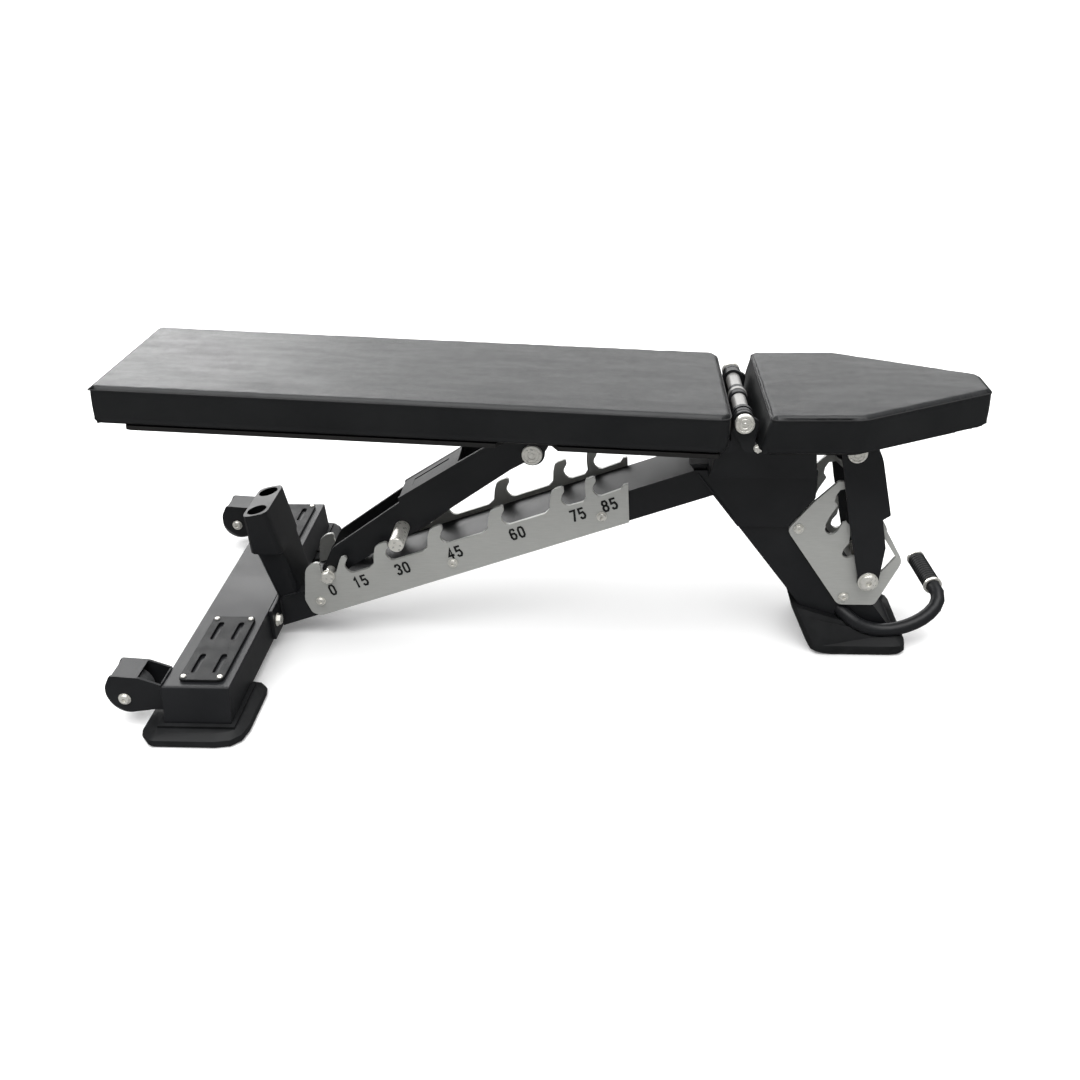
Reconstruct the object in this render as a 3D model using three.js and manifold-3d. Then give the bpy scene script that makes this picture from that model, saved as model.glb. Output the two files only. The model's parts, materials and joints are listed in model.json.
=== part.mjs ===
// Adjustable weight bench: backrest on a ladder rack, three-position seat, two transport wheels.
// Millimetres. +X runs from the wheel end to the seat tip, +Y across, +Z up, floor at z = 0.
import * as THREE from "three";
import { mergeVertices } from "three/addons/utils/BufferGeometryUtils.js";
import Module from "manifold-3d";

const wasm = await Module();
wasm.setup();

// ---------------------------------------------------------------- driving dimensions
const GAP = 0.3; // space left between neighbouring pieces

const HINGE = [298, 425]; // x, z of the rod that both pads turn on
const ARM_PIVOT = [-21, 362]; // x, z of the pin in the backrest ears
const LINK_PIVOT = [477.5, 358.5]; // x, z of the pin in the seat ears

const PAD_HALF_WIDTH = 150;
const PAD_THICK = 60;
const PAD_TOP = 447.8;
const BACK_END = 277.5;
const BACK_LENGTH = 952.5;
const BACK_TILT = 0.0521; // radians, the free end stands higher
const SEAT_START = 332;
const SEAT_LEAN = 14; // how much further the lower edge of the seat end reaches towards the hinge
const SEAT_TAPER = 465.5;
const SEAT_TIP = 676.7;
const SEAT_TIP_HALF = 38.7;

const BEAM_LEFT = -578;
const BEAM_RIGHT = -473;
const BEAM_TOP = 78;
const BEAM_BOTTOM = 18.4;
const BEAM_HALF = 316;
const BEAM_FLARE = 14; // how much further out the end plates stand at the bottom
const TUBE_WALL = 3;
const TUBE_HALF = 50; // half the width of the spine and the leg

const RACK_ANGLE = THREE.MathUtils.degToRad(19.2);
const RACK_ORIGIN = [-374, 133];
const RACK_INNER = TUBE_HALF + GAP;
const RACK_THICK = 6;
const RACK_OUTER = RACK_INNER + RACK_THICK;
const RACK_BOTTOM = -75; // across the slope
const SPINE_TOP = -24;
const ROD_R = 8;
const REST_NOTCH = [-3, -7]; // along and across the slope
const SLOTS = [106.3, 205.5, 313.9, 418, 471.5]; // inner walls of the slots 30 to 85, along the slope
const FLOOR_ENDS = [69, 167, 274.8, 384.9, 451]; // where each floor ends before the next tooth
const LADDER_BOLTS = [
  [-36.5, -48],
  [207.7, -52],
  [470, -50],
];

const LEG_LEFT = [[267, 273], [417, 73]];
const LEG_DEPTH_X = 121; // width measured along the floor
const LEG_TOP = 330;
const LEG_BOTTOM = 20;
const SEAT_LADDER_BOLTS = [
  [402, 220],
  [485, 94],
];
const LINK_BOLT = [518.5, 130];

const WHEEL_AXLE = [-638.5, 55];
const WHEEL_Y = 290;
const WHEEL_R = 33.5;

const ARM_PLATE_Y = [30, 36];
const ARM_GRIP_R = 12.5;

// ---------------------------------------------------------------- solids
function solid(geometry) {
  const bare = geometry.index ? geometry.toNonIndexed() : geometry.clone();
  bare.deleteAttribute("normal");
  bare.deleteAttribute("uv");
  const merged = mergeVertices(bare, 1e-4);
  return new wasm.Manifold(
    new wasm.Mesh({
      numProp: 3,
      vertProperties: merged.attributes.position.array,
      triVerts: new Uint32Array(merged.index.array),
    }),
  );
}

function union(parts) {
  return parts.reduce((sum, part) => sum.add(part));
}

function cut(body, tools) {
  return tools.reduce((left, tool) => left.subtract(tool), body);
}

function outline(points) {
  // Each point is [x, z] or [x, z, corner radius].
  const shape = new THREE.Shape();
  const count = points.length;
  for (let i = 0; i < count; i++) {
    const [x, z, r = 0] = points[i];
    const here = new THREE.Vector2(x, z);
    if (r === 0) {
      if (i === 0) shape.moveTo(x, z);
      else shape.lineTo(x, z);
      continue;
    }
    const before = points[(i + count - 1) % count];
    const after = points[(i + 1) % count];
    const back = new THREE.Vector2(before[0] - x, before[1] - z);
    const ahead = new THREE.Vector2(after[0] - x, after[1] - z);
    const reach = Math.min(r, back.length() * 0.49, ahead.length() * 0.49);
    back.setLength(reach);
    ahead.setLength(reach);
    const start = here.clone().add(back);
    const end = here.clone().add(ahead);
    if (i === 0) shape.moveTo(start.x, start.y);
    else shape.lineTo(start.x, start.y);
    shape.quadraticCurveTo(x, z, end.x, end.y);
  }
  return shape;
}

function plate(points, y0, y1, segments = 3) {
  // A side view in x and z, carried from y0 to y1.
  const low = Math.min(y0, y1);
  const high = Math.max(y0, y1);
  const geometry = new THREE.ExtrudeGeometry(outline(points), {
    depth: high - low,
    bevelEnabled: false,
    curveSegments: segments,
  });
  geometry.rotateX(Math.PI / 2);
  geometry.translate(0, high, 0);
  return solid(geometry);
}

function slab(points, z0, z1, segments = 4) {
  // A plan view in x and y, carried from z0 to z1.
  const geometry = new THREE.ExtrudeGeometry(outline(points), {
    depth: z1 - z0,
    bevelEnabled: false,
    curveSegments: segments,
  });
  geometry.translate(0, 0, z0);
  return solid(geometry);
}

function box(x0, x1, y0, y1, z0, z1) {
  const geometry = new THREE.BoxGeometry(x1 - x0, Math.abs(y1 - y0), z1 - z0);
  geometry.translate((x0 + x1) / 2, (y0 + y1) / 2, (z0 + z1) / 2);
  return solid(geometry);
}

function bar([x, z], r, y0, y1, sides = 20) {
  const geometry = new THREE.CylinderGeometry(r, r, Math.abs(y1 - y0), sides);
  geometry.translate(x, (y0 + y1) / 2, z);
  return solid(geometry);
}

function turned(profile, [x, z], sign = 1, sides = 24) {
  // profile: [radius, y] pairs that start and end on the axis; sign -1 is the mirror piece.
  const points = profile.map(([r, y]) => new THREE.Vector2(r, y));
  const geometry = new THREE.LatheGeometry(points, sides);
  if (sign < 0) geometry.rotateX(Math.PI);
  geometry.translate(x, 0, z);
  return solid(geometry);
}

function loft(rings) {
  // Rings of the same count, listed from the bottom up, each one anticlockwise seen from above.
  const count = rings[0].length;
  const positions = rings.flat().flat();
  const index = [];
  for (let level = 0; level + 1 < rings.length; level++) {
    for (let i = 0; i < count; i++) {
      const a = level * count + i;
      const b = level * count + ((i + 1) % count);
      index.push(a, b, b + count, a, b + count, a + count);
    }
  }
  const top = (rings.length - 1) * count;
  for (let i = 1; i + 1 < count; i++) {
    index.push(0, i + 1, i);
    index.push(top, top + i, top + i + 1);
  }
  const geometry = new THREE.BufferGeometry();
  geometry.setAttribute("position", new THREE.Float32BufferAttribute(positions, 3));
  geometry.setIndex(index);
  return solid(geometry);
}

function ring(points, height, steps = 3) {
  // A closed plan outline as a ring of points; height is a number or a function of x and y.
  const flat = outline(points).getPoints(steps);
  const first = flat[0];
  const last = flat[flat.length - 1];
  if (first.distanceTo(last) < 1e-6) flat.pop();
  return flat.map(({ x, y }) => [x, y, typeof height === "number" ? height : height(x, y)]);
}

function rectangle(x0, x1, y0, y1, r) {
  return [
    [x0, y0, r],
    [x1, y0, r],
    [x1, y1, r],
    [x0, y1, r],
  ];
}

function moved(body, matrix) {
  return body.transform(matrix.elements);
}

// ---------------------------------------------------------------- frames of reference
const rackX = [Math.cos(RACK_ANGLE), Math.sin(RACK_ANGLE)];
const rackUp = [-Math.sin(RACK_ANGLE), Math.cos(RACK_ANGLE)];

function onRack(along, across, r = 0) {
  return [
    RACK_ORIGIN[0] + along * rackX[0] + across * rackUp[0],
    RACK_ORIGIN[1] + along * rackX[1] + across * rackUp[1],
    r,
  ];
}

const lockRod = onRack(...REST_NOTCH).slice(0, 2);
const armLength = Math.hypot(ARM_PIVOT[0] - lockRod[0], ARM_PIVOT[1] - lockRod[1]);
const armX = [(ARM_PIVOT[0] - lockRod[0]) / armLength, (ARM_PIVOT[1] - lockRod[1]) / armLength];

function onArm(along, across, r = 0) {
  // Along the arm from the lock rod, and across it towards the backrest.
  return [
    lockRod[0] + along * armX[0] - across * armX[1],
    lockRod[1] + along * armX[1] + across * armX[0],
    r,
  ];
}

const backMatrix = new THREE.Matrix4()
  .makeTranslation(BACK_END, 0, PAD_TOP)
  .multiply(new THREE.Matrix4().makeRotationY(BACK_TILT));

function onBack(along, up) {
  // Along the backrest from its hinge end (negative), and up from its top face.
  const point = new THREE.Vector3(along, 0, up).applyMatrix4(backMatrix);
  return [point.x, point.z];
}

function arc([x, z], r, from, to, steps) {
  // Points on a circle, degrees, anticlockwise from +X.
  const points = [];
  for (let i = 0; i <= steps; i++) {
    const angle = THREE.MathUtils.degToRad(from + ((to - from) * i) / steps);
    points.push([x + r * Math.cos(angle), z + r * Math.sin(angle)]);
  }
  return points;
}

// ---------------------------------------------------------------- the group
const group = new THREE.Group();
group.name = "adjustable_weight_bench";

const COLOURS = {
  frame: 0x17191a,
  rack: 0x9a9c98,
  bright: 0xc9c8c2,
  rubber: 0x0f1011,
  roller: 0x4a4c4d,
  pad: 0x151515,
  board: 0x1a1a1a,
  wood: 0x6b5132,
};

function add(name, body, colour) {
  const mesh = body.getMesh();
  const geometry = new THREE.BufferGeometry();
  geometry.setAttribute("position", new THREE.BufferAttribute(new Float32Array(mesh.vertProperties), 3));
  geometry.setIndex(new THREE.BufferAttribute(new Uint32Array(mesh.triVerts), 1));
  const flat = geometry.toNonIndexed();
  flat.computeVertexNormals();
  const item = new THREE.Mesh(flat, new THREE.MeshStandardMaterial({ color: COLOURS[colour] }));
  item.name = name;
  group.add(item);
}

function addPair(name, make, colour) {
  // make(side) with side -1 for the near piece and +1 for the far one.
  add(`${name}_near`, make(-1), colour);
  add(`${name}_far`, make(1), colour);
}

// ---------------------------------------------------------------- crossbeam, feet and step plates
const flare = BEAM_HALF + BEAM_FLARE;
function beamBody(inset) {
  const high = BEAM_TOP - inset;
  const low = BEAM_BOTTOM + inset;
  const geometry = new THREE.ExtrudeGeometry(
    outline([
      [-flare + inset, low, inset ? 0 : 4],
      [flare - inset, low, inset ? 0 : 4],
      [BEAM_HALF - inset, high, inset ? 0 : 4],
      [-BEAM_HALF + inset, high, inset ? 0 : 4],
    ]),
    { depth: BEAM_RIGHT - BEAM_LEFT - 2 * inset, bevelEnabled: false, curveSegments: 2 },
  );
  // The view across the beam becomes y and z, and its depth runs along x.
  geometry.applyMatrix4(
    new THREE.Matrix4().makeBasis(
      new THREE.Vector3(0, 1, 0),
      new THREE.Vector3(0, 0, 1),
      new THREE.Vector3(1, 0, 0),
    ),
  );
  geometry.translate(BEAM_LEFT + inset, 0, 0);
  return solid(geometry);
}
const ventWindow = box(BEAM_RIGHT - 10, BEAM_RIGHT + 5, -12, 12, 38, 60);
const flangeBoltHoles = [-78, 78].map((y) => {
  const hole = new THREE.CylinderGeometry(5.3, 5.3, 30, 20).rotateZ(Math.PI / 2);
  return solid(hole.translate(BEAM_RIGHT, y, 51));
});
add("crossbeam", cut(beamBody(0), [beamBody(TUBE_WALL), ventWindow, ...flangeBoltHoles]), "frame");

function footBoot(side) {
  // A flat rubber sole with a sloping upper face and a lip that hugs the end of the beam.
  const y0 = 203;
  const y1 = 365;
  const turnedOver = (points) => (side < 0 ? points.map(([x, y, z]) => [x, -y, z]).reverse() : points);
  // Each level: height, left, right, y at both ends, corner cut, then the radii of the two right corners.
  const levels = [
    [0, -609, -452, y0 + 4, y1 - 3, [-590, y1 - 24], 26, 40],
    [5, -613, -448, y0, y1, [-592, y1 - 25], 28, 42],
    [12, -611, -450, y0 + 2, y1 - 2, [-591, y1 - 25], 28, 42],
    [18, -598, -461, y0 + 12, y1 - 14, [-585, y1 - 30], 22, 34],
  ];
  const rings = levels.map(([z, left, right, start, end, [cutX, cutY], r0, r1]) => {
    const plan = [
      [left, start, 8],
      [right, start, r0],
      [right, end, r1],
      [cutX, end, 6],
      [left, cutY, 6],
    ];
    return turnedOver(ring(plan, z));
  });
  const sole = loft(rings);
  const ys = (a, b) => (side < 0 ? [-b, -a] : [a, b]);
  const rightLip = box(BEAM_RIGHT + GAP, BEAM_RIGHT + 7, ...ys(222, 338), 14, 22);
  const endLip = box(BEAM_LEFT - 8, BEAM_RIGHT + 7, ...ys(331, 339), 14, 22);
  const leftLip = box(BEAM_LEFT - 8, BEAM_LEFT - GAP, ...ys(296, 338), 14, 22);
  const pocket = box(BEAM_LEFT - GAP, BEAM_RIGHT + GAP, ...ys(190, 331), 18.1, 60);
  return cut(union([sole, rightLip, endLip, leftLip]), [pocket]);
}
addPair("foot_boot", footBoot, "rubber");

function stepPlate(side) {
  const ys = (a, b) => (side < 0 ? [-b, -a] : [a, b]);
  const [y0, y1] = ys(120, 303);
  const body = slab(rectangle(-556, -486, y0, y1, 10), BEAM_TOP + GAP, BEAM_TOP + 4.8, 3);
  const slots = [];
  for (const y of [165, 258]) {
    for (const x of [-538, -504]) {
      const [s0, s1] = ys(y - 26, y + 26);
      slots.push(slab(rectangle(x - 4.5, x + 4.5, s0, s1, 4.4), BEAM_TOP - 1, BEAM_TOP + 8, 2));
    }
  }
  return cut(body, slots);
}
addPair("step_plate", stepPlate, "rubber");

// ---------------------------------------------------------------- wheels and their brackets
function wheelBracket(side) {
  const cheek = [
    [-656, 96, 4],
    [-612, 93, 3],
    [BEAM_LEFT - GAP, 80],
    [BEAM_LEFT - GAP, 36],
    [-596, 35.5, 4],
    [-639, 29, 8],
    [-662, 47, 6],
    [-667, 61, 5],
    [-666.5, 76, 6],
  ];
  const inner = side * (WHEEL_Y - 24);
  const outer = side * (WHEEL_Y + 24);
  const cheeks = [
    plate(cheek, inner - 2, inner + 2),
    plate(cheek, outer - 2, outer + 2),
  ];
  const lidSide = [[-654, 96, 2], [-613, 93], [-613, 90], [-653, 92.6]];
  const lid = plate(lidSide, inner, outer);
  const bore = bar(WHEEL_AXLE, 6 + GAP, inner - side * 10, outer + side * 10, 24);
  return cut(union([...cheeks, lid]), [bore]);
}
addPair("wheel_bracket", wheelBracket, "frame");

function wheelAxle(side) {
  const y = side * WHEEL_Y;
  const shaft = bar(WHEEL_AXLE, 6, y - 27, y + 27, 24);
  const heads = [-1, 1].map((end) => bar(WHEEL_AXLE, 9.5, y + end * (26 + GAP), y + end * 31, 20));
  return union([shaft, ...heads]);
}
addPair("wheel_axle", wheelAxle, "bright");

function roller(side) {
  const y = side * WHEEL_Y;
  const half = 17;
  const shaft = [6 + GAP, WHEEL_R - 3, WHEEL_R];
  const profile = [
    [shaft[0], -half],
    [shaft[1], -half],
    [shaft[2], -half + 3],
    [shaft[2], half - 3],
    [shaft[1], half],
    [shaft[0], half],
    [shaft[0], -half],
  ];
  const geometry = new THREE.LatheGeometry(profile.map(([r, h]) => new THREE.Vector2(r, h)), 32);
  geometry.translate(WHEEL_AXLE[0], y, WHEEL_AXLE[1]);
  return solid(geometry);
}
addPair("roller", roller, "roller");

// ---------------------------------------------------------------- spine, its flange and the receiver
const FLANGE_RIGHT = BEAM_RIGHT + GAP + 6;
const flange = cut(box(BEAM_RIGHT + GAP, FLANGE_RIGHT, -96, 96, 22, 77.5), flangeBoltHoles);
add("spine_flange", flange, "frame");

function flangeBolt(side) {
  const shaft = new THREE.CylinderGeometry(5, 5, 24, 20).rotateZ(Math.PI / 2);
  shaft.translate(FLANGE_RIGHT - 8, side * 78, 51);
  const head = new THREE.CylinderGeometry(9.5, 9.5, 8, 6).rotateZ(Math.PI / 2);
  head.translate(FLANGE_RIGHT + GAP + 4, side * 78, 51);
  return union([solid(shaft), solid(head)]);
}
addPair("flange_bolt", flangeBolt, "bright");

function legX(z) {
  const [[x0, z0], [x1, z1]] = LEG_LEFT;
  return x0 + ((x1 - x0) * (z0 - z)) / (z0 - z1);
}

function rackZ(x, across) {
  // Height of a line parallel to the rack, at x.
  const [x0, z0] = onRack(0, across);
  return z0 + (x - x0) * Math.tan(RACK_ANGLE);
}

function spineOutline(inset) {
  const start = FLANGE_RIGHT + GAP - (inset ? 20 : 0);
  const low = RACK_BOTTOM + inset;
  const high = SPINE_TOP - inset;
  const gap = inset ? -20 : GAP * 1.3;
  const meet = (across) => {
    let x = 230;
    for (let i = 0; i < 30; i++) x = legX(rackZ(x, across)) - gap;
    return [x, rackZ(x, across)];
  };
  return [[start, rackZ(start, low)], meet(low), meet(high), [start, rackZ(start, high)]];
}
const ladderBores = LADDER_BOLTS.map(([along, across]) => bar(onRack(along, across), 5 + GAP, -80, 80, 12));
const spineHollow = plate(spineOutline(TUBE_WALL), -TUBE_HALF + TUBE_WALL, TUBE_HALF - TUBE_WALL);
const spine = cut(plate(spineOutline(0), -TUBE_HALF, TUBE_HALF), [spineHollow, ...ladderBores]);
add("spine", spine, "frame");

function receiverBody() {
  // A wide head with two sockets, on a narrower neck that leans back to the start of the spine.
  const plan = (x0, x1, half) => rectangle(x0, x1, -half, half, 15);
  const body = loft([
    ring(plan(-472, -430, 48), 74),
    ring(plan(-490, -443, 49), 137),
    ring(plan(-497, -448.4, 50), 162.5),
    ring(plan(-504, -448.9, 57), 165.5),
    ring(plan(-508, -465, 57), (x) => 234 + (x + 508) * 0.21),
  ]);
  const lean = new THREE.Matrix4()
    .makeTranslation(-487, 0, 238)
    .multiply(new THREE.Matrix4().makeRotationY(THREE.MathUtils.degToRad(-6)));
  const sockets = [-35, 35].map((y) => {
    const hole = new THREE.CylinderGeometry(16.5, 16.5, 80, 32).rotateX(Math.PI / 2);
    hole.translate(0, y, -28);
    return moved(solid(hole), lean);
  });
  const floorCut = plate(
    [
      [-600, rackZ(-600, SPINE_TOP) + GAP],
      [-380, rackZ(-380, SPINE_TOP) + GAP],
      [-380, 0],
      [-600, 0],
    ],
    -60,
    60,
  );
  const beamCut = box(-600, FLANGE_RIGHT + GAP, -60, 60, 0, BEAM_TOP + GAP);
  return cut(body, [...sockets, floorCut, beamCut]);
}
add("receiver", receiverBody(), "frame");

// ---------------------------------------------------------------- line of the transport bar
const BAR_R = 11.5;
const barPoints = [
  [480, -TUBE_HALF + 12, 66],
  [496, -TUBE_HALF - 7, 56],
  [518, -TUBE_HALF - GAP - BAR_R - 1, 42],
  [552, -TUBE_HALF - GAP - BAR_R - 1, 34],
  [590, -59, 39],
  [622, -50, 51],
  [642, -38, 66],
  [649, -22, 78],
  [646, -6, 83],
  [636.5, 84, 88.5],
];
const barCurve = new THREE.CurvePath();
const barKnots = barPoints.map((point) => new THREE.Vector3(...point));
barCurve.add(new THREE.CatmullRomCurve3(barKnots.slice(0, -1)));
barCurve.add(new THREE.LineCurve3(...barKnots.slice(-2)));

function sweep(radius, curve, steps, sides) {
  const section = new THREE.Shape();
  section.absarc(0, 0, radius, 0, Math.PI * 2, false);
  const geometry = new THREE.ExtrudeGeometry(section, {
    steps,
    bevelEnabled: false,
    extrudePath: curve,
    curveSegments: sides / 2,
  });
  return solid(geometry);
}

const barBody = sweep(BAR_R, barCurve, 22, 16);
const barClear = sweep(BAR_R + 0.7, barCurve, 22, 16);
// ---------------------------------------------------------------- leg, side plates and hinge ears
function legOutline(inset) {
  const top = LEG_TOP - inset;
  const bottom = LEG_BOTTOM - (inset ? 10 : 0);
  const skew = inset * 1.25;
  return [
    [legX(bottom) + skew, bottom],
    [legX(bottom) + LEG_DEPTH_X - skew, bottom],
    [legX(top) + LEG_DEPTH_X - skew, top],
    [legX(top) + skew, top],
  ];
}
const legBores = SEAT_LADDER_BOLTS.map((spot) => bar(spot, 5 + GAP, -80, 80, 12));
const legHollow = plate(legOutline(TUBE_WALL), -TUBE_HALF + TUBE_WALL, TUBE_HALF - TUBE_WALL);
const leg = cut(plate(legOutline(0), -TUBE_HALF, TUBE_HALF), [legHollow, barClear, ...legBores]);
add("leg", leg, "frame");

const gussetOutline = [
  [legX(322), 322],
  [424, 322, 3],
  [424, 274.5],
  [384, 223.5],
  [legX(223.5), 223.5],
];
addPair("leg_gusset", (side) => plate(gussetOutline, side * RACK_INNER, side * RACK_OUTER), "frame");

const EAR_INNER = 76;
const EAR_OUTER = 84;
function hingeEar(side) {
  const block = [
    [252, 322 + GAP],
    [417, 322 + GAP],
    [414, 362, 3],
    [343, 362],
    [342, 374],
    [329, 385],
    [302, 385],
    [262.5, 366],
  ];
  const tongue = [
    [262, 350],
    [262.5, 366],
    [282, 396],
    ...arc(HINGE, 16, 180, 0, 12),
    [313, 402],
    [325.5, 366],
    [327, 350],
  ];
  const ear = union([
    plate(block, side * RACK_INNER, side * EAR_OUTER),
    plate(tongue, side * EAR_INNER, side * EAR_OUTER),
  ]);
  return cut(ear, [bar(HINGE, 9 + GAP, side * 60, side * 100)]);
}
addPair("hinge_ear", hingeEar, "frame");

const SLEEVE_R = 11.5;
function rodProfile() {
  const steps = [
    [9, 0, 17],
    [SLEEVE_R, 17, EAR_INNER - GAP],
    [9, EAR_INNER - GAP, 104.6],
    [SLEEVE_R, 104.6, 111.7],
  ];
  const half = steps.flatMap(([r, from, to]) => [
    [r, from],
    [r, to],
  ]);
  const upper = half.slice(1);
  const lower = upper.map(([r, y]) => [r, -y]).reverse();
  return [[0, -111.7], ...lower, ...upper, [0, 111.7]];
}
add("hinge_rod", turned(rodProfile(), HINGE), "bright");

function endCap(r, inner, outer) {
  // A turned cap with a chamfered rim and a shallow dish in its face.
  return [
    [0, inner],
    [r, inner],
    [r, outer - 1.5],
    [r - 1.5, outer],
    [r - 4, outer],
    [r - 5, outer - 1.2],
    [0, outer - 1.2],
  ];
}
addPair("hinge_cap", (side) => turned(endCap(14.5, 112, 122), HINGE, side), "bright");

const collar = cut(bar(HINGE, 14, -16.7, 16.7), [bar(HINGE, 9 + GAP, -20, 20)]);
add("hinge_collar", collar, "frame");

// ---------------------------------------------------------------- back ladder plates
function tooth(slot, floorEnd) {
  // From the end of one floor, over the hook, down to the floor of the next slot.
  const run = slot - floorEnd;
  return [
    onRack(floorEnd, -16.2),
    onRack(floorEnd + run * 0.3, -11),
    onRack(floorEnd + run * 0.5, 6),
    onRack(floorEnd + run * 0.7, 17),
    onRack(slot - 3, 20),
    onRack(slot + 8, 20.4),
    onRack(slot + 11, 18),
    onRack(slot + 9.5, 11),
    onRack(slot + 3, 5),
    onRack(slot, -1),
    onRack(slot + 1, -8),
    onRack(slot + 4.5, -13.5),
    onRack(slot + 10, -16),
  ];
}

function ladderOutline() {
  const [rx, rz] = REST_NOTCH;
  const notch = [];
  for (let i = 0; i <= 6; i++) {
    const angle = Math.PI + (Math.PI * i) / 6;
    notch.push(onRack(rx + 8.6 * Math.cos(angle), rz + 8.6 * Math.sin(angle)));
  }
  const rightTop = onRack(528.6, -9.6);
  const rightLow = onRack(508.4, RACK_BOTTOM);
  return [
    onRack(-50, RACK_BOTTOM, 6),
    rightLow,
    rightTop,
    onRack(521, -9),
    onRack(515, -14.5),
    ...SLOTS.map((slot, i) => tooth(slot, FLOOR_ENDS[i])).reverse().map((points) => points.reverse()).flat(),
    onRack(40.5, -16),
    onRack(35.5, -13.5),
    onRack(32, -8),
    onRack(31, 0),
    onRack(34, 5),
    onRack(40.5, 11),
    onRack(41, 15),
    onRack(38.5, 18),
    onRack(32, 17.6),
    onRack(27.5, 13.4),
    onRack(12, -6),
    ...notch.reverse(),
    onRack(-12, 2),
    onRack(-7, 19.5, 3),
    onRack(-17, 23, 4),
    onRack(-35, 17.5, 8),
    onRack(-62, -37.4, 4),
    onRack(-61, -64, 4),
  ];
}
const ladder = ladderOutline();
const ladderPlate = cut(plate(ladder, RACK_INNER, RACK_OUTER, 2), ladderBores);
const acrossSpine = new THREE.Matrix4().makeTranslation(0, -RACK_INNER - RACK_OUTER, 0);
addPair("back_ladder", (side) => (side < 0 ? moved(ladderPlate, acrossSpine) : ladderPlate), "rack");

function throughBolt([x, z]) {
  const [inner, outer] = [RACK_OUTER + GAP, RACK_OUTER + 4.5];
  const heads = [-1, 1].map((side) => bar([x, z], 8.5, side * inner, side * outer, 16));
  return union([bar([x, z], 5, -RACK_OUTER - 2, RACK_OUTER + 2, 12), ...heads]);
}
LADDER_BOLTS.forEach(([along, across], i) => {
  add(`ladder_bolt_${i + 1}`, throughBolt(onRack(along, across)), "bright");
});

// ---------------------------------------------------------------- seat ladder plates
const seatLadderOuter = [
  [384, 217, 10],
  [477, 79, 8],
  [537, 79, 6],
  [573, 161, 10],
  [541, 218, 20],
  [505, 278, 14],
  [466, 303, 3],
  [458, 304, 3],
  [424, 269, 6],
];
const seatLadderWindow = [
  [461, 289],
  [455.5, 279],
  [454.5, 269],
  [459.5, 261],
  [448, 240],
  [443.6, 227],
  ...arc([453.5, 219.5], 10, 160, 290, 5),
  [463, 214.5],
  [470.5, 230],
  [476, 232],
  [482, 226],
  [484.5, 208],
  [484, 194],
  [476.5, 183],
  ...arc([484, 175.5], 9, 160, 300, 5),
  [496.5, 170],
  [500.5, 158],
  [508, 141],
  ...arc(LINK_BOLT, 8.7, 175, 335, 7),
  [545, 146],
  [561, 169],
  [545, 194],
  [527, 222],
  [499, 266],
  [472, 291],
];
const seatLadderHole = plate([...seatLadderWindow].reverse(), -90, 90, 2);
function seatLadder(side) {
  const body = plate([...seatLadderOuter].reverse(), side * RACK_INNER, side * RACK_OUTER);
  return cut(body, [seatLadderHole, ...legBores]);
}
addPair("seat_ladder", seatLadder, "rack");
SEAT_LADDER_BOLTS.forEach((spot, i) => {
  add(`seat_ladder_bolt_${i + 1}`, throughBolt(spot), "bright");
});

// ---------------------------------------------------------------- transport bar and rear boot
add("transport_bar", barBody, "frame");

const [gripStart, gripEnd] = barKnots.slice(-2);
const gripAxis = gripEnd.clone().sub(gripStart).normalize();
function onGrip(body) {
  const turn = new THREE.Quaternion().setFromUnitVectors(new THREE.Vector3(0, 1, 0), gripAxis);
  return moved(body, new THREE.Matrix4().compose(gripStart, turn, new THREE.Vector3(1, 1, 1)));
}
function collarTube(outer, from, to) {
  const tube = cut(bar([0, 0], outer, from, to), [bar([0, 0], BAR_R + 0.4, from - 5, to + 5)]);
  return onGrip(tube);
}
const gripLength = gripEnd.distanceTo(gripStart);
add("transport_ring", collarTube(15.5, 6, 11), "bright");
add("transport_grip", collarTube(14.5, 11.3, gripLength - 1), "rubber");
add("transport_cap", onGrip(bar([0, 0], 15, gripLength + 0.4, gripLength + 7)), "bright");

function rearBoot() {
  // A moulded shoe: wide sole, and a cup that follows the leaning leg.
  const sole = (grow) => rectangle(435 - grow, 590 + grow, -88 - grow, 88 + grow, 24);
  const cupTop = (x) => 78 - (x - 402) * 0.32;
  const body = loft([
    ring(rectangle(446, 586, -86, 86, 22), 0),
    ring(sole(2), 6),
    ring(rectangle(427, 591, -89, 89, 24), 18),
    ring(rectangle(404, 584, -68, 68, 22), (x) => Math.max(28, cupTop(x) - 10)),
    ring(rectangle(401, 579, -62, 62, 18), (x) => cupTop(x)),
  ]);
  const clear = GAP * 1.3;
  const legSpace = plate(
    [
      [legX(LEG_BOTTOM - GAP) - clear, LEG_BOTTOM - GAP],
      [legX(LEG_BOTTOM - GAP) + LEG_DEPTH_X + clear, LEG_BOTTOM - GAP],
      [legX(160) + LEG_DEPTH_X + clear, 160],
      [legX(160) - clear, 160],
    ],
    -TUBE_HALF - GAP,
    TUBE_HALF + GAP,
  );
  const seatRack = box(460, 560, -RACK_OUTER - 6, RACK_OUTER + 6, 78, 120);
  return cut(body, [legSpace, barClear, seatRack]);
}
add("rear_boot", rearBoot(), "rubber");

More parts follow.
